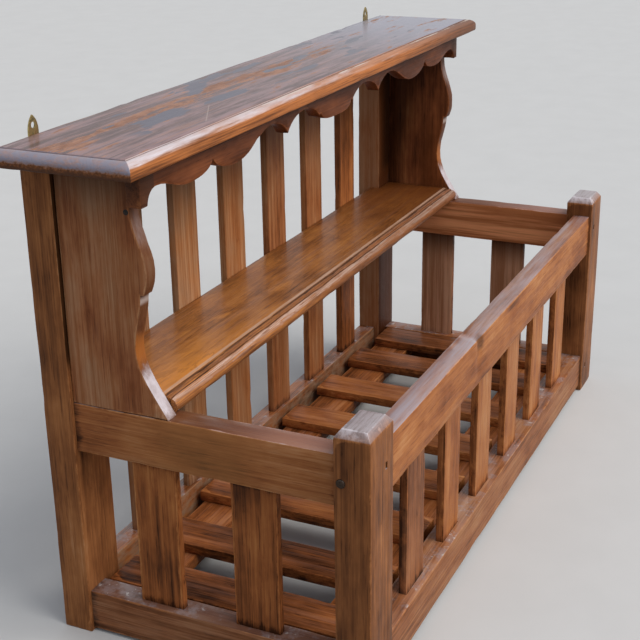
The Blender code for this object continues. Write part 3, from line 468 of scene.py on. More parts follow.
class Wire:
    """A shader socket that Python's operators work on."""

    def __init__(self, tree, socket=None):
        self.tree = tree
        self.socket = socket

    def node(self, kind, settings=None, inputs=None, output=0):
        """Add a node: its settings first, then a value or a link for each named socket."""
        made = self.tree.nodes.new(kind)
        for name, value in (settings or {}).items():
            if name == "stops":
                set_stops(made.color_ramp, value)
            else:
                setattr(made, name, value)
        for name, value in (inputs or {}).items():
            if isinstance(value, Wire):
                self.tree.links.new(value.socket, made.inputs[name])
            else:
                made.inputs[name].default_value = value
        return Wire(self.tree, made.outputs[output])

    def other(self, name):
        """Another output of the node that this wire comes from."""
        return Wire(self.tree, self.socket.node.outputs[name])

    def math(self, operation, first, second=0.0):
        return self.node("ShaderNodeMath", {"operation": operation}, {0: first, 1: second})

    def __add__(self, other):
        return self.math("ADD", self, other)

    def __radd__(self, other):
        return self.math("ADD", other, self)

    def __sub__(self, other):
        return self.math("SUBTRACT", self, other)

    def __rsub__(self, other):
        return self.math("SUBTRACT", other, self)

    def __mul__(self, other):
        return self.math("MULTIPLY", self, other)

    def __rmul__(self, other):
        return self.math("MULTIPLY", other, self)

    def __truediv__(self, other):
        return self.math("DIVIDE", self, other)

    def pattern(self, kind):
        """A noise of one kind over this vector, stepped where the kind has steps."""
        stretched = self.node("ShaderNodeVectorMath", {"operation": "MULTIPLY"}, {0: self, 1: kind.pitch})
        sockets = {"Vector": stretched, "Scale": 1.0, "Detail": kind.detail, "Roughness": kind.roughness,
                   "Distortion": kind.twist}
        made = self.node("ShaderNodeTexNoise", {}, sockets)
        return made.between(*kind.steps) if kind.steps else made

    def sway(self, amount):
        """How far a pattern is from its middle, 0.5, times an amount."""
        return (self - 0.5) * amount

    def between(self, low, high):
        """A smooth step from 0 at the low value to 1 at the high one."""
        sockets = {"Value": self, "From Min": low, "From Max": high}
        return self.node("ShaderNodeMapRange", {"interpolation_type": "SMOOTHSTEP"}, sockets)

    def window(self, low, high, soft):
        """1 between two values, fading to 0 over a soft margin on both sides."""
        return self.between(low - soft, low + soft) * (1.0 - self.between(high - soft, high + soft))

    def blend(self, first, second):
        """The first colour where this value is 0, and the second where it is 1."""
        sockets = {0: self, 6: colour(first), 7: colour(second)}
        return self.node("ShaderNodeMix", {"data_type": "RGBA"}, sockets, output=2)

    def under(self, coat, where):
        """This colour under a coat that lies where a value is 1."""
        return (where * coat.share).blend(self, coat.colour)


def colour(value):
    return value if isinstance(value, Wire) else (*value, 1.0)


def set_stops(ramp, stops):
    while len(ramp.elements) < len(stops):
        ramp.elements.new(0.5)
    for element, (place, value) in zip(ramp.elements, stops):
        element.position = place
        element.color = (*value, 1.0)


def new_material(name):
    """An empty Principled material: the material, its shader node and a wire to add nodes with."""
    material = bpy.data.materials.new(name)
    material.use_nodes = True
    shader = material.node_tree.nodes["Principled BSDF"]
    return material, shader, Wire(material.node_tree)


def feed(shader, name, wire):
    wire.tree.links.new(wire.socket, shader.inputs[name])


def attribute(start, name, output="Fac"):
    return start.node("ShaderNodeAttribute", {"attribute_name": name}, output=output)


def place_on(start):
    """A place on the rack, whole and as its length, depth and height."""
    place = start.node("ShaderNodeTexCoord", output="Object")
    parts = start.node("ShaderNodeSeparateXYZ", {}, {0: place})
    return place, parts, parts.other(1), parts.other(2)


def normal_of(start):
    """The way a face looks: a wire along X, whose other outputs are along Y and Z."""
    facing = start.node("ShaderNodeNewGeometry", output="Normal")
    return start.node("ShaderNodeSeparateXYZ", {}, {0: facing})


def front_of(start):
    """1 on faces that look to the front."""
    return 1.0 - normal_of(start).other(1).between(*LOOKS_DOWN_AXIS)


def inner_of(start):
    """1 on faces that look to the left, as the right end's do inside the rack."""
    return 1.0 - normal_of(start).between(*LOOKS_DOWN_AXIS)


# Wood

def growth_rings(grain):
    """Late wood of the growth rings: 0 in the pale early wood, 1 in the dark line that ends a ring."""
    wander = grain.pattern(RING_WANDER)
    parts = grain.node("ShaderNodeSeparateXYZ", {}, {0: grain})
    across = parts.other(1) + wander.sway(WANDER_ACROSS)
    through = parts.other(2) + wander.sway(WANDER_THROUGH)
    radius = grain.math("SQRT", across * across + through * through)
    ring = grain.math("FRACT", radius / RING_WIDTH)
    return ring.between(*LATE_WOOD) * (1.0 - ring.between(*RING_END))


def wood(name, stain, rings=0.04, streaks=0.40, smoke=0.9, wear=0.26, narrow_shade=0.0, painted_sheen=0.0, sheen=0.8,
         finish=None):
    """Stained and waxed softwood, from the attributes that each timber carries.

    The stain runs from its darkest tone to its palest, and the rings, streaks, smoke, wear and narrow-face
    arguments say how far the growth rings, the grain, the dark clouds, the rubbed arrises and a painted
    shade on the narrow faces move that tone.
    The painted sheen argument sets how far faces that look up are painted grey, standing in for the sky's
    reflection, and sheen is their gloss.
    """
    material, shader, start = new_material(name)
    grain = attribute(start, "grain", "Vector")
    late = growth_rings(grain)
    cloud, streak, vein, fibre, pore, scuff = (grain.pattern(kind) for kind in GRAIN_PATTERNS)
    arris = attribute(start, "arris") + scuff.sway(ARRIS_RAGGED) + cloud.sway(ARRIS_RAGGED)
    rubbed = 1.0 - arris.between(*RUBBED_ARRIS)
    joint = attribute(start, "joint") + streak.sway(JOINT_STREAKY) + scuff.sway(JOINT_RAGGED)
    soiled = 1.0 - joint.between(*SOILED_JOINT)

    level = 0.5 + cloud.sway(smoke) + streak.sway(streaks) + vein.sway(VEIN_PULL) + fibre.sway(FIBRE_PULL)
    # Narrow faces darkened: a painted shade for the gaps between slats
    level = level + attribute(start, "tone").sway(TONE_PULL) - attribute(start, "narrow") * narrow_shade
    level = level + rubbed * (wear - attribute(start, "grimy") * GRIMY_PULL)
    level = level - soiled * SOILED_PULL - late * rings - pore * PORE_PULL
    level = level - scuff.between(*SCUFF_DARK) * SCUFF_PULL
    stops = list(zip(STAIN_LEVELS, stain))
    body = start.node("ShaderNodeValToRGB", {"stops": stops}, {0: level})
    dulled = (streak + vein.sway(0.5) + fibre.sway(0.6)).between(*DULL_STEPS).blend(*DULL_SHADES)
    body = (attribute(start, "dull") * (DULL_SHARE + cloud.sway(2.0))).blend(body, dulled)
    upward = normal_of(start).other(2).between(*LOOKS_UP)
    # Faces that look up painted grey: a painted sheen
    body = (upward * (painted_sheen + streak.sway(0.5))).blend(body, PAINTED_SHEEN_GREY)
    gloss = 1.0
    if finish:
        body, gloss = finish(Surface(start, *place_on(start), upward, streak, scuff, rubbed), body)
    feed(shader, "Base Color", body)

    feed(shader, "Roughness", WOOD_ROUGHNESS + streak.sway(0.3) + soiled * 0.25 + scuff.sway(0.25))
    feed(shader, "Coat Weight", WAX_LEAST + upward * (sheen + scuff.sway(0.6)) * gloss)
    shader.inputs["Coat Roughness"].default_value = WAX_ROUGHNESS
    shader.inputs["Specular IOR Level"].default_value = WOOD_SPECULAR
    relief = fibre * 0.5 + late * 0.2 + scuff * 0.5 - pore * 0.4
    feed(shader, "Normal", start.node("ShaderNodeBump", {}, {**GRAIN_BUMP, "Height": relief}))
    return material


# Finishes: each takes a surface and the wood's colour, and gives the colour and how glossy its top is

def top_film_and_painted_sheen(surface, stained):
    """The top board's lilac film, partly patina and partly a painted sheen, worn to orange behind the
    middle, with painted blue reflections. It hides the stained wood.
    """
    start, place, along, deep = surface.start, surface.place, surface.along, surface.deep
    patch = place.pattern(FILM_PATCH)
    left = 1.0 - along.between(*WORN_LEFT)
    bare = deep.window(*WORN_DEPTH, WORN_SOFT) * left * WORN_PULL
    blue = film_pools(surface, patch)
    worn = (patch + bare + surface.scuff.sway(0.1)).between(*WORN_STEPS) * (1.0 - blue)
    film = (patch + surface.streak.sway(0.9)).between(*FILM_STEPS).blend(*FILM_SHADES)
    film = film.under(THIN_ORANGE, place.pattern(FILM_THIN) * left)
    film = film.under(DARK_STREAK, place.pattern(FILM_STREAKS))
    # Painted sheen to the right, painted reflections in the pools
    film = film.under(RIGHT_PAINTED_SHEEN, along.between(*FILM_RIGHT))
    film = blue.blend(film, POOL_PAINTED_REFLECTION)
    orange = (surface.scuff + surface.streak * 0.6).between(*WORN_TONES).blend(*WORN_SHADES)
    film = worn.blend(film, orange)
    film = film.under(SCRATCH_PALE, film_scratch(along, deep))
    low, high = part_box("top_board")
    rim = start.math("MINIMUM", deep - low.y, high.x - start.math("ABSOLUTE", along))
    field = rim.between(MOULDING_WIDTH - HAIR, MOULDING_WIDTH + HAIR)
    matt_edge = (1.0 - field) * along.between(*MOULDING_MATT) * 0.75
    gloss = (0.85 + along * 0.4) * (1.0 - worn * 0.75) * (1.0 - matt_edge)
    return field.blend(moulding_edge(surface, rim), film), gloss


def film_pools(surface, patch):
    """Blue-grey pools in the film, painted reflections ragged along the grain: the given ones and a few by
    chance.
    """
    ragged_along = surface.along + patch.sway(0.14)
    ragged_deep = surface.deep + surface.streak.sway(0.024)
    listed_pools = 0.0
    for length, depth in POOLS:
        listed_pool = ragged_along.window(*length, POOL_SOFT[0]) * ragged_deep.window(*depth, POOL_SOFT[1])
        listed_pools = listed_pool * POOL_PULL + listed_pools
    pool = surface.place.pattern(POOL_CHANCE) + listed_pools + patch.sway(0.2)
    blue = pool.between(*POOL_STEPS) * surface.deep.between(*POOL_FRONT)
    return blue * surface.along.window(*POOL_SPAN, POOL_SPAN_SOFT)


def film_scratch(along, deep):
    """A fine scratch across the film."""
    slant = (SCRATCH_END[0] - SCRATCH_START[0]) / (SCRATCH_END[1] - SCRATCH_START[1])
    aside = along - SCRATCH_START[0] - (deep - SCRATCH_START[1]) * slant
    fine = aside.window(-SCRATCH_HALF, SCRATCH_HALF, SCRATCH_SOFT)
    return fine * deep.window(SCRATCH_START[1], SCRATCH_END[1], SCRATCH_FADE)


def moulding_edge(surface, rim):
    """The moulding's colour: orange below, a painted highlight on the round, tan then near white above it
    and most so at the left.
    """
    place, along = surface.place, surface.along
    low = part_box("top_board")[0]
    ragged = place.pattern(MOULDING_RAGGED)
    lines = place.pattern(MOULDING_LINES)
    end = (surface.deep - low.y - along + low.x).between(-HAIR, HAIR)
    rise = surface.height + end * END_RISE + ragged.sway(RISE_RAGGED) + lines.sway(RISE_RAGGED)
    rise = rise.between(*MOULDING_ROUND)
    bright = along.window(*MOULDING_BRIGHT, MOULDING_BRIGHT_SOFT)
    body = (lines * 3.4 - 1.10 + bright * 0.25).blend(*MOULDING_SHADES)
    # Painted highlight on the moulding's round: tan, then near white
    body = (rise.between(*TAN_HIGHLIGHT_RISE) * (0.45 - along * 0.4)).blend(body, MOULDING_TAN_HIGHLIGHT)
    highlight = rise.between(*HIGHLIGHT_RISE) * (0.06 - along * 1.5 + ragged.sway(2.2))
    body = highlight.blend(body, end.blend(*MOULDING_PAINTED_HIGHLIGHT))
    body = body.under(DARK_RIGHT, along.between(*DARK_SPAN))
    body = body.under(DARK_END, end * (1.0 - rise))
    body = body.under(DARK_FLECK, place.pattern(MOULDING_FLECKS) * (1.0 - rise * 0.8) * (1.0 - end))
    quirk = rim.window(*QUIRK, HAIR) * (0.9 + ragged.sway(2.0))
    body = quirk.blend(body, QUIRK_BROWN)
    flaked = rim.window(*FLAKE_LINE, FLAKE_SOFT) * ragged.between(*FLAKE_STEPS)
    return body.under(FLAKE_PALE, flaked * along.between(*FLAKE_SPAN))


def shelf_glow(surface, body):
    """The shelf's colour: painted light, bright orange, at the left front, and painted shade, deep
    red-brown, towards the right end.
    """
    along = surface.along
    swirl = surface.place.pattern(SHELF_SWIRL)
    far = (along + surface.streak.sway(0.3)).between(*SHELF_FAR) * FAR_SHARE
    near = (along * -1.0 - surface.deep * 4.0 + swirl.sway(0.9)).between(*SHELF_NEAR)
    # Painted shade at the right, painted light at the left front
    body = near.blend(far.blend(body, SHELF_RED_PAINTED_SHADE), SHELF_ORANGE_PAINTED_LIGHT)
    body = body.under(SWIRL_DARK, swirl.window(*SWIRL_LINE, SWIRL_SOFT))
    body, bead = shelf_nose(surface, body)
    return body, (1.0 + bead * 0.5) * (1.0 - far * 0.5)


def shelf_nose(surface, body):
    """The shelf's nose, with painted highlights on fillet and bead and dark in the grooves, and where the
    bead is.
    """
    place, upward = surface.place, surface.upward
    back = surface.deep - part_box("display_shelf")[0].y + surface.scuff.sway(0.0010)
    lines = place.pattern(NOSE_LINES)
    moulded = 1.0 - back.between(SHELF_FILLET[0] - NOSE_EDGE, SHELF_FILLET[0])
    body = (moulded * (0.75 + lines.sway(2.5))).blend(body, NOSE_BROWN)
    body = body.under(BLOTCH_DARK, moulded * place.pattern(NOSE_BLOTCH))
    # Painted highlights on the upward fillet and bead
    fillet = back.window(*SHELF_FILLET, NOSE_SOFT) * upward
    body = (fillet * (0.70 + lines.sway(2.0))).blend(body, FILLET_PAINTED_HIGHLIGHT)
    bead = (1.0 - back.between(SHELF_BEAD - NOSE_SOFT, SHELF_BEAD + NOSE_SOFT)) * upward
    bead_highlight = surface.along.between(*BEAD_SPAN).blend(*BEAD_PAINTED_HIGHLIGHT)
    body = (bead * (0.60 + lines.sway(4.5))).blend(body, bead_highlight)
    for groove, half in zip(SHELF_GROOVES, GROOVE_LINES):
        line = back.window(groove - half, groove + half, half / 2)
        body = (line * (0.70 + lines.sway(1.5))).blend(body, GROOVE_DARK)
    return body, bead


def rail_dust_and_painted_light(surface, body):
    """Dust on the bottom rails, a golden tint, painted highlights and painted light on the side rails, and
    a painted lilac sheen on the front top rail.
    """
    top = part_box("back_bottom_rail")[1].z
    upper = surface.height.between(top + UPPER_START[0], top + UPPER_START[1])
    body = bottom_rails(surface, body, 1.0 - upper)
    front_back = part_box("front_top_rail")[1].y
    front = 1.0 - surface.deep.between(front_back, front_back + BEHIND_FRONT_RAIL)
    side_top = surface.upward * upper * (1.0 - front)
    body = side_rails(surface, body, upper, side_top)
    body = front_rail(surface, body, surface.upward * front * upper)
    return body, 1.0 - surface.along.between(*RAIL_MATT) * (0.6 + side_top * 0.3)


def bottom_rails(surface, body, lower):
    """Bare wood on the back one's front, grime on the left one's top and settled dust on all four."""
    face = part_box("back_bottom_rail")[0].y
    bare = surface.deep.window(face - BARE_HALF, face + BARE_HALF, BARE_HALF / 2) * lower
    body = (bare * (0.35 + surface.scuff.sway(2.5))).blend(body, BARE_WOOD)
    lower_top = lower * surface.upward
    body = body.under(RAIL_GRIME, lower_top * (1.0 - surface.along.between(*LEFT_RAIL)))
    settled = surface.place.pattern(SETTLED)
    body = body.under(SETTLED_DUST, lower_top * settled)
    return body.under(PALE_SPECK, lower_top * surface.place.pattern(SPECKS) * settled)


def side_rails(surface, body, upper, side_top):
    """Side rails: tops with painted highlights at the front end and along the arrises, dark behind, painted
    light on the right one's inner face, the left one's outer face.
    """
    along, deep, streak, rubbed = surface.along, surface.deep, surface.streak, surface.rubbed
    rail_top = deep.between(*SIDE_TOP_SPAN).blend(*SIDE_TOP_HIGHLIGHT_TO_DARK)
    # Side rail tops: painted highlight at the front end, and pale arrises as painted highlights
    body = (side_top * (0.75 - rubbed * 0.5)).blend(body, rail_top)
    body = (side_top * (rubbed - 0.30)).blend(body, SIDE_TOP_ARRIS_HIGHLIGHT)
    # Painted light on the right rail's inner face, which looks into the rack
    inner = along.between(*RIGHT_RAIL) * upper * (1.0 - surface.upward) * inner_of(surface.start)
    inner_painted_light = streak.between(*TINT_STEPS).blend(*RIGHT_RAIL_PAINTED_LIGHT)
    body = (inner * RIGHT_RAIL_SHARE).blend(body, inner_painted_light)
    outer = (1.0 - along.between(*LEFT_OUTER_FACE)) * deep.window(*LEFT_PATCH, LEFT_PATCH_SOFT) * upper
    return (outer * (0.25 + streak * 0.5)).blend(body, LEFT_PATCH_GOLD)


def front_rail(surface, body, front_top):
    """The front top rail's painted lilac sheen, stronger to the left of the chip, and a dark smudge round
    the chip.
    """
    place = surface.place
    low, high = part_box("front_top_rail")
    left = 1.0 - surface.along.between(*CHIP_STEP)
    body = body.under(RIGHT_OF_CHIP, front_top * (1.0 - left))
    sheen_sway = place.pattern(SHEEN_STREAKS).sway(2.4) + surface.streak.sway(1.0)
    # Painted lilac sheen on the front top rail's top
    body = (front_top * (0.25 + left * 0.45 + sheen_sway)).blend(body, LILAC_PAINTED_SHEEN)
    chip = Vector((RAIL_CHIP + CHIP_REACH * 0.4, low.y, high.z - CHIP_REACH * 0.5))
    ends = {0: place, 1: chip}
    away = place.node("ShaderNodeVectorMath", {"operation": "DISTANCE"}, ends, output="Value")
    smudge = 1.0 - (away + surface.scuff.sway(0.02)).between(SMUDGE_START, CHIP_REACH)
    return body.under(SMUDGE_DARK, smudge)


def post_cap(surface, body):
    """Saw marks in the painted grey sheen on the post tops, and painted highlights round the chamfers.

    The back right post is red inside with painted shade on its front face, and both back posts have painted
    shade in the corners above the shelf.
    """
    start, along = surface.start, surface.along
    body = body.under(SAW_DARK, surface.upward * surface.place.pattern(SAW_MARKS))
    # Pale chamfer arrises: painted highlights
    body = (surface.upward * (surface.rubbed - 0.2)).blend(body, CAP_ARRIS_HIGHLIGHT)
    back = surface.deep.between(*BACK_POSTS)
    front = back * front_of(start)
    above = surface.height.between(*ABOVE_SHELF)
    inside = along.between(*RIGHT_POSTS) * back
    body = body.under(POST_RED, inside)
    # Painted shade on the back right post's front face
    body = (inside * front * POST_FRONT_SHARE).blend(body, above.blend(*POST_FRONT_PAINTED_SHADE))
    # Painted shade in the back posts' corners above the shelf
    corner = start.math("ABSOLUTE", along).between(*POST_CORNER) * front * above
    return body.under(CORNER_PAINTED_SHADE, corner), 1.0


def board_edge(surface, body):
    """Side boards with painted shade in the corners, painted shadow under the top and painted light at the
    inner foot, and the apron with painted shadow along its top.
    """
    deep, height, streak = surface.deep, surface.height, surface.streak
    aside = surface.start.math("ABSOLUTE", surface.along)
    board = aside.between(*BOARD_STARTS)
    under = (height + streak.sway(0.03)).between(*TOP_SHADE)
    # Painted shadow under the top board
    body = body.under(UNDER_TOP_PAINTED_SHADOW, under * board)
    body = body.under(APRON_RED, 1.0 - board)
    shade = (height + streak.sway(0.008)).between(*APRON_SHADE)
    # Painted shadow along the apron's top, under the moulding
    body = body.under(APRON_PAINTED_SHADOW, shade * (1.0 - board))
    inner = (1.0 - aside.between(*BOARD_INSIDE_ENDS)) * board
    foot = (1.0 - deep.between(*FOOT_DEPTH)) * (1.0 - height.between(*FOOT_HEIGHT))
    # Painted light at the lower front of the inner faces
    body = body.under(FOOT_PAINTED_LIGHT, inner * foot)
    inner_shade = (deep + (height - INNER_SHADE_LEVEL) * INNER_SHADE_TILT).between(*INNER_SHADE_DEPTH)
    # Painted shade deepening to the back and top of the inner faces
    body = body.under(CORNER_PAINTED_SHADE, inner * inner_shade)
    return edge_painted_light(surface, body, front_of(surface.start) * board), 1.0


def edge_painted_light(surface, body, front):
    """A side board's front edge: a painted white highlight at the foot, a painted orange glow above it, a
    painted glint and grey sheen higher up, and dark over the rest.
    """
    height, streak, scuff = surface.height, surface.streak, surface.scuff
    body = body.under(EDGE_DARK, front)
    # Painted grey sheen, glint, orange glow and white highlight down the front edge
    sheen_band = front * height.window(*EDGE_SHEEN, SHEEN_SOFT)
    body = (sheen_band * (0.3 + streak.sway(1.5))).blend(body, EDGE_SHEEN_GREY)
    body = body.under(GLINT_PALE, front * height.window(*EDGE_GLINT, GLINT_SOFT))
    body = body.under(GLOW_ORANGE, front * (height + scuff.sway(0.02)).window(*EDGE_GLOW, GLOW_SOFT))
    shine = front * (height + scuff.sway(0.03)).window(*EDGE_SHINE, SHINE_SOFT)
    return (shine * (0.85 + streak.sway(1.2))).blend(body, SHINE_WHITE)


def slat_painted_shade_and_light(surface, body):
    """Slats darkened at the top by painted shadow, under the apron and under the right rail, and the right
    ones made pale inside by painted light.
    """
    ragged = surface.height + surface.streak.sway(0.03)
    right = surface.along.between(*RIGHT_SLATS)
    inner_painted_light = surface.streak.between(*TINT_STEPS).blend(*RIGHT_SLAT_PAINTED_LIGHT)
    body = (right * inner_of(surface.start) * RIGHT_SLAT_SHARE).blend(body, inner_painted_light)
    # Painted shadow under the apron and under the right rail
    back_shadow = surface.deep.between(*BACK_SLATS) * ragged.between(*BACK_SHADOW_HEIGHTS) * BACK_SHADOW_SHARE
    right_shadow = right * ragged.between(*RIGHT_SHADOW_HEIGHTS) * RIGHT_SHADOW_SHARE
    return (back_shadow + right_shadow).blend(body, SLAT_PAINTED_SHADOW), 1.0


# Metal

def brass(name, bright):
    """Brass gone dull: bright where it is rubbed, olive-brown in its blotches."""
    material, shader, start = new_material(name)
    place = start.node("ShaderNodeTexCoord", output="Object")
    dull = place.pattern(TARNISH_BLOTCH)
    scratch = place.pattern(BRASS_SCRATCH)
    feed(shader, "Base Color", dull.blend(bright, TARNISH))
    feed(shader, "Roughness", 0.28 + dull * 0.35 + scratch.sway(0.15))
    feed(shader, "Metallic", 1.0 - dull * 0.35)
    feed(shader, "Normal", start.node("ShaderNodeBump", {}, {**BRASS_BUMP, "Height": scratch}))
    return material


def iron(name):
    """Blackened iron with a little rust."""
    material, shader, start = new_material(name)
    blotch = start.node("ShaderNodeTexCoord", output="Object").pattern(IRON_BLOTCH)
    rust = blotch.between(*RUST_STEPS)
    feed(shader, "Base Color", rust.blend(*IRON_SHADES))
    feed(shader, "Roughness", 0.55 + rust * 0.3)
    feed(shader, "Metallic", 0.6 - rust * 0.5)
    feed(shader, "Normal", start.node("ShaderNodeBump", {}, {**IRON_BUMP, "Height": blotch}))
    return material


def make_materials():
    return {
        "post_wood": wood("post_wood", BROWN, rings=0.02, painted_sheen=0.95, finish=post_cap),
        "rail_wood": wood("rail_wood", ORANGE, smoke=1.0, sheen=1.0, finish=rail_dust_and_painted_light),
        "slat_wood": wood("slat_wood", ORANGE, rings=0.03, streaks=0.50, narrow_shade=0.22, finish=slat_painted_shade_and_light),
        "floor_wood": wood("floor_wood", ORANGE, narrow_shade=0.1, sheen=0.05),
        "board_wood": wood("board_wood", RUSSET, smoke=1.2, painted_sheen=0.35, sheen=1.0, finish=board_edge),
        "shelf_wood": wood("shelf_wood", GOLDEN, streaks=0.15, smoke=0.7, sheen=0.22, finish=shelf_glow),
        "top_wood": wood("top_wood", ORANGE, sheen=0.7, finish=top_film_and_painted_sheen),
        "peg_wood": wood("peg_wood", SMOKY, wear=0.0),
        "hanger_brass": brass("hanger_brass", HANGER_BRASS),
        "screw_brass": brass("screw_brass", SCREW_BRASS),
        "nail_iron": iron("nail_iron"),
    }


# Timber meshes

def welded_copy(node):
    """A copy of a CAD node's mesh with its triangles merged into whole flat faces."""
    mesh_data = bmesh.new()
    mesh_data.from_mesh(frame["nodes"][node].data)
    bmesh.ops.remove_doubles(mesh_data, verts=mesh_data.verts, dist=WELD)
    bmesh.ops.dissolve_limit(mesh_data, angle_limit=FLAT_ANGLE, verts=mesh_data.verts,
                             edges=mesh_data.edges)
    mesh_data.normal_update()
    return mesh_data


def outer_arrises(mesh_data, outer_faces_needed):
    """Convex edges that have at least so many faces with nothing of the piece in front of them."""
    corners = [vert.co.copy() for vert in mesh_data.verts]
    outer = set()
    for face in mesh_data.faces:
        front = face.normal.dot(face.verts[0].co)
        if max(face.normal.dot(corner) for corner in corners) - front < OUTSIDE:
            outer.add(face)
    arrises = []
    for edge in mesh_data.edges:
        if not edge.is_manifold or edge.calc_face_angle_signed() < ARRIS_ANGLE:
            continue
        if sum(face in outer for face in edge.link_faces) >= outer_faces_needed:
            arrises.append(edge)
    return arrises


def arris_tree(arrises):
    """Points along the arrises, to measure distances from."""
    points = []
    for edge in arrises:
        start, end = (vert.co.copy() for vert in edge.verts)
        count = max(1, round((end - start).length / ARRIS_STEP))
        points += [start.lerp(end, index / count) for index in range(count + 1)]
    tree = kdtree.KDTree(len(points))
    for index, point in enumerate(points):
        tree.insert(point, index)
    tree.balance()
    return tree


def slice_at(mesh_data, axis, place):
    """Cut an edge loop into the mesh, square to an axis."""
    normal = Vector((0.0, 0.0, 0.0))
    normal[axis] = 1.0
    geometry = [*mesh_data.verts, *mesh_data.edges, *mesh_data.faces]
    bmesh.ops.bisect_plane(mesh_data, geom=geometry, dist=WELD, plane_co=normal * place, plane_no=normal)


def slice_axis(mesh_data, axis, low, high, spacing):
    """Cut the mesh into even slices along an axis, so that wear has points to move."""
    count = round((high - low) / spacing)
    for index in range(1, count):
        slice_at(mesh_data, axis, low + (high - low) * index / count)


def sink_groove(mesh_data, place):
    """Sink a fine groove into the upper side, along X at a place in Y."""
    for at in (place - GROOVE_HALF, place, place + GROOVE_HALF):
        slice_at(mesh_data, 1, at)
    mesh_data.normal_update()
    for vert in mesh_data.verts:
        if abs(vert.co.y - place) < WELD and vert.normal.z > GROOVE_TOP:
            vert.co.z -= GROOVE_DEPTH


def batter_nose(mesh_data, low, high):
    """Knock the shelf's nose about: long shallow hollows and small nicks, pushed in along the surface."""
    slice_axis(mesh_data, 0, low.x, high.x, NOSE_STEP)
    mesh_data.normal_update()
    moves = {}
    for vert in mesh_data.verts:
        if vert.co.y < low.y + SHELF_GROOVES[0]:
            place = Vector(size * pitch for size, pitch in zip(vert.co, NOSE_PITCH))
            nick = max(0.0, noise.noise(place * NICK_PITCH) - NICK_START)
            hollow = max(0.0, noise.noise(place)) + nick
            moves[vert] = vert.normal * -hollow * NOSE_HOLLOW
    for vert, move in moves.items():
        vert.co += move


def knock_chip(mesh_data, place):
    """Knock a chip out of an arris that runs along X with its faces towards -Y and +Z."""
    for step in CHIP_CUTS:
        slice_at(mesh_data, 0, place.x + step * CHIP_REACH)
    slice_at(mesh_data, 1, place.y + CHIP_DEPTH)
    slice_at(mesh_data, 2, place.z - CHIP_DEPTH)
    for vert in mesh_data.verts:
        near = 1.0 - (vert.co - place).length / CHIP_REACH
        if near > 0.0:
            vert.co += Vector((0.0, CHIP_DEPTH, -CHIP_DEPTH)) * near ** 2


def grain_axes(low, high):
    """Axes from the longest side to the shortest: along the grain, across it and through it."""
    size = high - low
    return sorted(range(3), key=lambda axis: -size[axis])


def visible_span(node, axis, low, high):
    """The stretch of a timber along its grain that no mortise hides."""
    words = node.split("_")
    if "slat" in words and words[0] != "floor":
        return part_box(f"{words[0]}_bottom_rail")[1].z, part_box(f"{words[0]}_top_rail")[0].z
    if words[-1] == "rail" and axis == 0:
        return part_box(f"{words[0]}_left_post")[1].x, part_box(f"{words[0]}_right_post")[0].x
    if words[-1] == "rail":
        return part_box(f"front_{words[0]}_post")[1].y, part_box(f"back_{words[0]}_post")[0].y
    return low[axis] - UNJOINTED, high[axis] + UNJOINTED


def mark_timber(node, mesh_data, tree, shift, rng):
    """Write the attributes that the wood reads."""
    low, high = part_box(node)
    axes = grain_axes(low, high)
    span = visible_span(node, axes[0], low, high)
    tone, dull = TONES.get(node, (TONE_MIDDLE + rng.uniform(-TONE_SPREAD, TONE_SPREAD), 0.0))
    back = node.startswith("back_slat")
    layers = mesh_data.verts.layers
    grain = layers.float_vector.new("grain")
    arris, joint, narrow, tones, dulls, grimy = (layers.float.new(name) for name in MARKS)
    for vert in mesh_data.verts:
        place = vert.co - (low + high) / 2
        along = vert.co[axes[0]]
        vert[grain] = Vector(place[axis] for axis in axes) + shift
        vert[arris] = tree.find(vert.co)[2]
        vert[joint] = min(along - span[0], span[1] - along)
        vert[narrow] = abs(vert.normal[axes[1]]) * (BACK_NARROW_LIFT if back else 1.0)
        # Right end: tone and dullness only on faces looking into the rack, as painted light
        lit_inside = max(0.0, -vert.normal.x) if node.startswith(RIGHT_END_LIT_INSIDE) else 1.0
        lift = APRON_END_LIFT * abs(vert.normal.x) if node == "apron" else 0.0
        vert[tones] = TONE_MIDDLE + (tone - TONE_MIDDLE) * lit_inside + lift
        vert[dulls] = dull * lit_inside
        vert[grimy] = back


def wear_timber(mesh_data, tree, build, shift):
    """Push the surface in a little: low waves everywhere, dents and long hollows along the arrises."""
    mesh_data.normal_update()
    moves = []
    for vert in mesh_data.verts:
        distance = tree.find(vert.co)[2]
        wave = WAVE_SIZE * (0.5 + 0.5 * noise.noise(vert.co * WAVE_PITCH + shift))
        dent = max(0.0, noise.noise(vert.co * DENT_PITCH + shift) - DENT_START) * DENTED[build]
        dent += max(0.0, noise.noise(vert.co * HEWN_PITCH + shift)) * HEWN[build]
        dent *= max(0.0, 1.0 - distance / DENT_REACH)
        moves.append(vert.normal * -(wave + dent))
    for vert, move in zip(mesh_data.verts, moves):
        vert.co += move


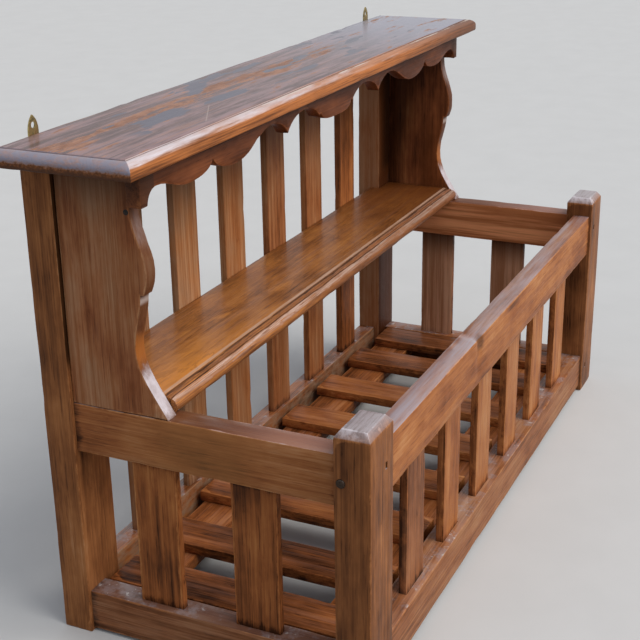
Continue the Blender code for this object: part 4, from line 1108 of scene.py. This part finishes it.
def make_timber(node, material, build):
    """Replace a CAD timber with a worn copy of it."""
    rng = random.Random(f"{node}-1")
    low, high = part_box(node)
    axes = grain_axes(low, high)
    mesh_data = welded_copy(node)
    arrises = outer_arrises(mesh_data, 1 if node in SHAPED else 2)
    tree = arris_tree(arrises)
    bmesh.ops.bevel(mesh_data, geom=arrises, offset=EASED[build], offset_type="OFFSET", affect="EDGES",
                    segments=ARRIS_SEGMENTS, profile=0.5, material=-1, clamp_overlap=True)
    if node == "display_shelf":
        for groove in SHELF_GROOVES:
            sink_groove(mesh_data, low.y + groove)
        batter_nose(mesh_data, low, high)
    if node == "front_top_rail":
        knock_chip(mesh_data, Vector((RAIL_CHIP, low.y, high.z)))
    slice_axis(mesh_data, axes[0], low[axes[0]], high[axes[0]], SLICE_ALONG)
    for axis in axes[1:]:
        slice_axis(mesh_data, axis, low[axis], high[axis], SLICE_ACROSS)
    mesh_data.normal_update()
    log_place = Vector((rng.uniform(*LOG_ALONG), rng.uniform(*LOG_ACROSS),
                        rng.choice((-1, 1)) * rng.uniform(*LOG_THROUGH)))
    mark_timber(node, mesh_data, tree, log_place, rng)
    wear_timber(mesh_data, tree, build, Vector([rng.uniform(*WEAR_SHIFT) for axis in axes]))
    piece = add_piece(f"{node}_worn", mesh_data, material)
    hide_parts(node)


def add_object(name, data):
    """Put an object into the scene."""
    made = bpy.data.objects.new(name, data)
    bpy.context.scene.collection.objects.link(made)
    return made


def add_piece(name, mesh_data, material):
    """Turn a bmesh into a smooth-shaded piece that rides on the rack."""
    bmesh.ops.triangulate(mesh_data, faces=[face for face in mesh_data.faces if len(face.verts) > 4])
    mesh = bpy.data.meshes.new(name)
    mesh_data.to_mesh(mesh)
    mesh_data.free()
    if "custom_normal" in mesh.attributes:
        mesh.attributes.remove(mesh.attributes["custom_normal"])
    mesh.materials.clear()
    mesh.materials.append(material)
    mesh.shade_smooth()
    mesh.set_sharp_from_angle(angle=ARRIS_ANGLE)
    piece = add_object(name, mesh)
    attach(piece, "root")
    return piece


def build_of(node, slot):
    """How stout a timber is, which says how far it is eased, dented and hewn."""
    if "peg" in node or "hanger" in node:
        return "small"
    return "slender" if slot == "slat_wood" else "stout"


def make_pieces(materials):
    """Wear every timber and hanger, and give the screws their brass."""
    for row in frame["record"]["subparts"]:
        node = row["node"]
        slot = row["material_slot"]
        if "screw" in node:
            frame["nodes"][node].data.materials.clear()
            frame["nodes"][node].data.materials.append(materials[slot])
        else:
            make_timber(node, materials[slot], build_of(node, slot))


def make_nail(board, side, material):
    """A flat nail head on the outer face of a side board: a turned profile, laid on that face."""
    mesh_data = bmesh.new()
    verts = [mesh_data.verts.new((radius, 0.0, out)) for radius, out in NAIL_PROFILE]
    edges = [mesh_data.edges.new(pair) for pair in zip(verts, verts[1:])]
    bmesh.ops.spin(mesh_data, geom=[*verts, *edges], cent=(0.0, 0.0, 0.0), axis=(0.0, 0.0, 1.0),
                   dvec=(0.0, 0.0, 0.0), angle=2 * math.pi, steps=NAIL_STEPS, use_merge=True)
    bmesh.ops.remove_doubles(mesh_data, verts=mesh_data.verts, dist=WELD)
    bmesh.ops.recalc_face_normals(mesh_data, faces=mesh_data.faces)
    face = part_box(board)[0 if side < 0 else 1].x
    turn = Matrix.Rotation(side * math.pi / 2, 4, "Y")
    laid = Matrix.Translation((face, *NAIL_PLACE)) @ turn
    bmesh.ops.transform(mesh_data, verts=mesh_data.verts, matrix=laid)
    add_piece(f"{board}_nail", mesh_data, material)


# Stage

def seen_rays(start):
    """1 for what is looked at, straight or in a reflection, and 0 for what only sheds light."""
    path = start.node("ShaderNodeLightPath", output="Is Camera Ray")
    seen = start.math("MAXIMUM", path, path.other("Is Glossy Ray"))
    return start.math("MAXIMUM", seen, path.other("Is Transmission Ray"))


def make_floor():
    """A wide pale floor that sheds less light than it shows."""
    mesh_data = bmesh.new()
    bmesh.ops.create_grid(mesh_data, x_segments=1, y_segments=1, size=FLOOR_SIZE)
    mesh = bpy.data.meshes.new("floor")
    mesh_data.to_mesh(mesh)
    mesh_data.free()
    material, shader, start = new_material("pale_floor")
    mottle = start.node("ShaderNodeTexCoord", output="Object").pattern(FLOOR_MOTTLE)
    feed(shader, "Base Color", seen_rays(start).blend(FLOOR_SHED, mottle.blend(*FLOOR_SHADES)))
    shader.inputs["Roughness"].default_value = FLOOR_ROUGHNESS
    mesh.materials.append(material)
    floor = add_object("floor", mesh)


def make_world():
    """Soft light, strongest from the front and above, in front of a plain pale backdrop."""
    world = bpy.data.worlds.new("studio")
    world.use_nodes = True
    tree = world.node_tree
    start = Wire(tree)
    way = start.node("ShaderNodeTexCoord", output="Generated")
    parts = start.node("ShaderNodeSeparateXYZ", {}, {0: way})
    right, rear, up = parts, parts.other(1), parts.other(2)
    bright = SKY_MIDDLE - right * SKY_FROM_LEFT - rear * SKY_FROM_FRONT + up * SKY_FROM_ABOVE
    shown = seen_rays(start).blend(bright.blend(*SKY_SHADES), BACKDROP)
    tree.links.new(shown.socket, tree.nodes["Background"].inputs["Color"])
    bpy.context.scene.world = world


def make_sun():
    """A broad sun, whose heading is measured from -Y towards +X."""
    data = bpy.data.lights.new("overhead", "SUN")
    data.energy = SUN_STRENGTH
    data.angle = math.radians(SUN_SPREAD)
    data.color = SUN_TINT
    lamp = add_object("overhead", data)
    heading = math.radians(SUN_HEADING)
    height = math.radians(SUN_HEIGHT)
    level = math.cos(height)
    source = Vector((math.sin(heading) * level, -math.cos(heading) * level, math.sin(height)))
    lamp.rotation_euler = source.to_track_quat("Z", "Y").to_euler()


def make_camera():
    data = bpy.data.cameras.new("camera")
    data.sensor_width = SENSOR_WIDTH
    data.lens = FOCAL_PIXELS / IMAGE_PIXELS * SENSOR_WIDTH
    camera = add_object("camera", data)
    level = math.cos(CAMERA_DIP)
    forward = Vector((math.sin(CAMERA_HEADING) * level, math.cos(CAMERA_HEADING) * level,
                      -math.sin(CAMERA_DIP)))
    flat_right = Vector((math.cos(CAMERA_HEADING), -math.sin(CAMERA_HEADING), 0.0))
    flat_down = forward.cross(flat_right)
    right = flat_right * math.cos(CAMERA_ROLL) + flat_down * math.sin(CAMERA_ROLL)
    down = flat_down * math.cos(CAMERA_ROLL) - flat_right * math.sin(CAMERA_ROLL)
    turn = Matrix((right, -down, -forward)).transposed()
    camera.matrix_world = Matrix.Translation(CAMERA_PLACE) @ turn.to_4x4()
    bpy.context.scene.camera = camera


bpy.context.scene.view_settings.view_transform = "Standard"
finishes = make_materials()
make_pieces(finishes)
make_nail("left_side_board", -1, finishes["nail_iron"])
make_nail("right_side_board", 1, finishes["nail_iron"])
make_floor()
make_world()
make_sun()
make_camera()
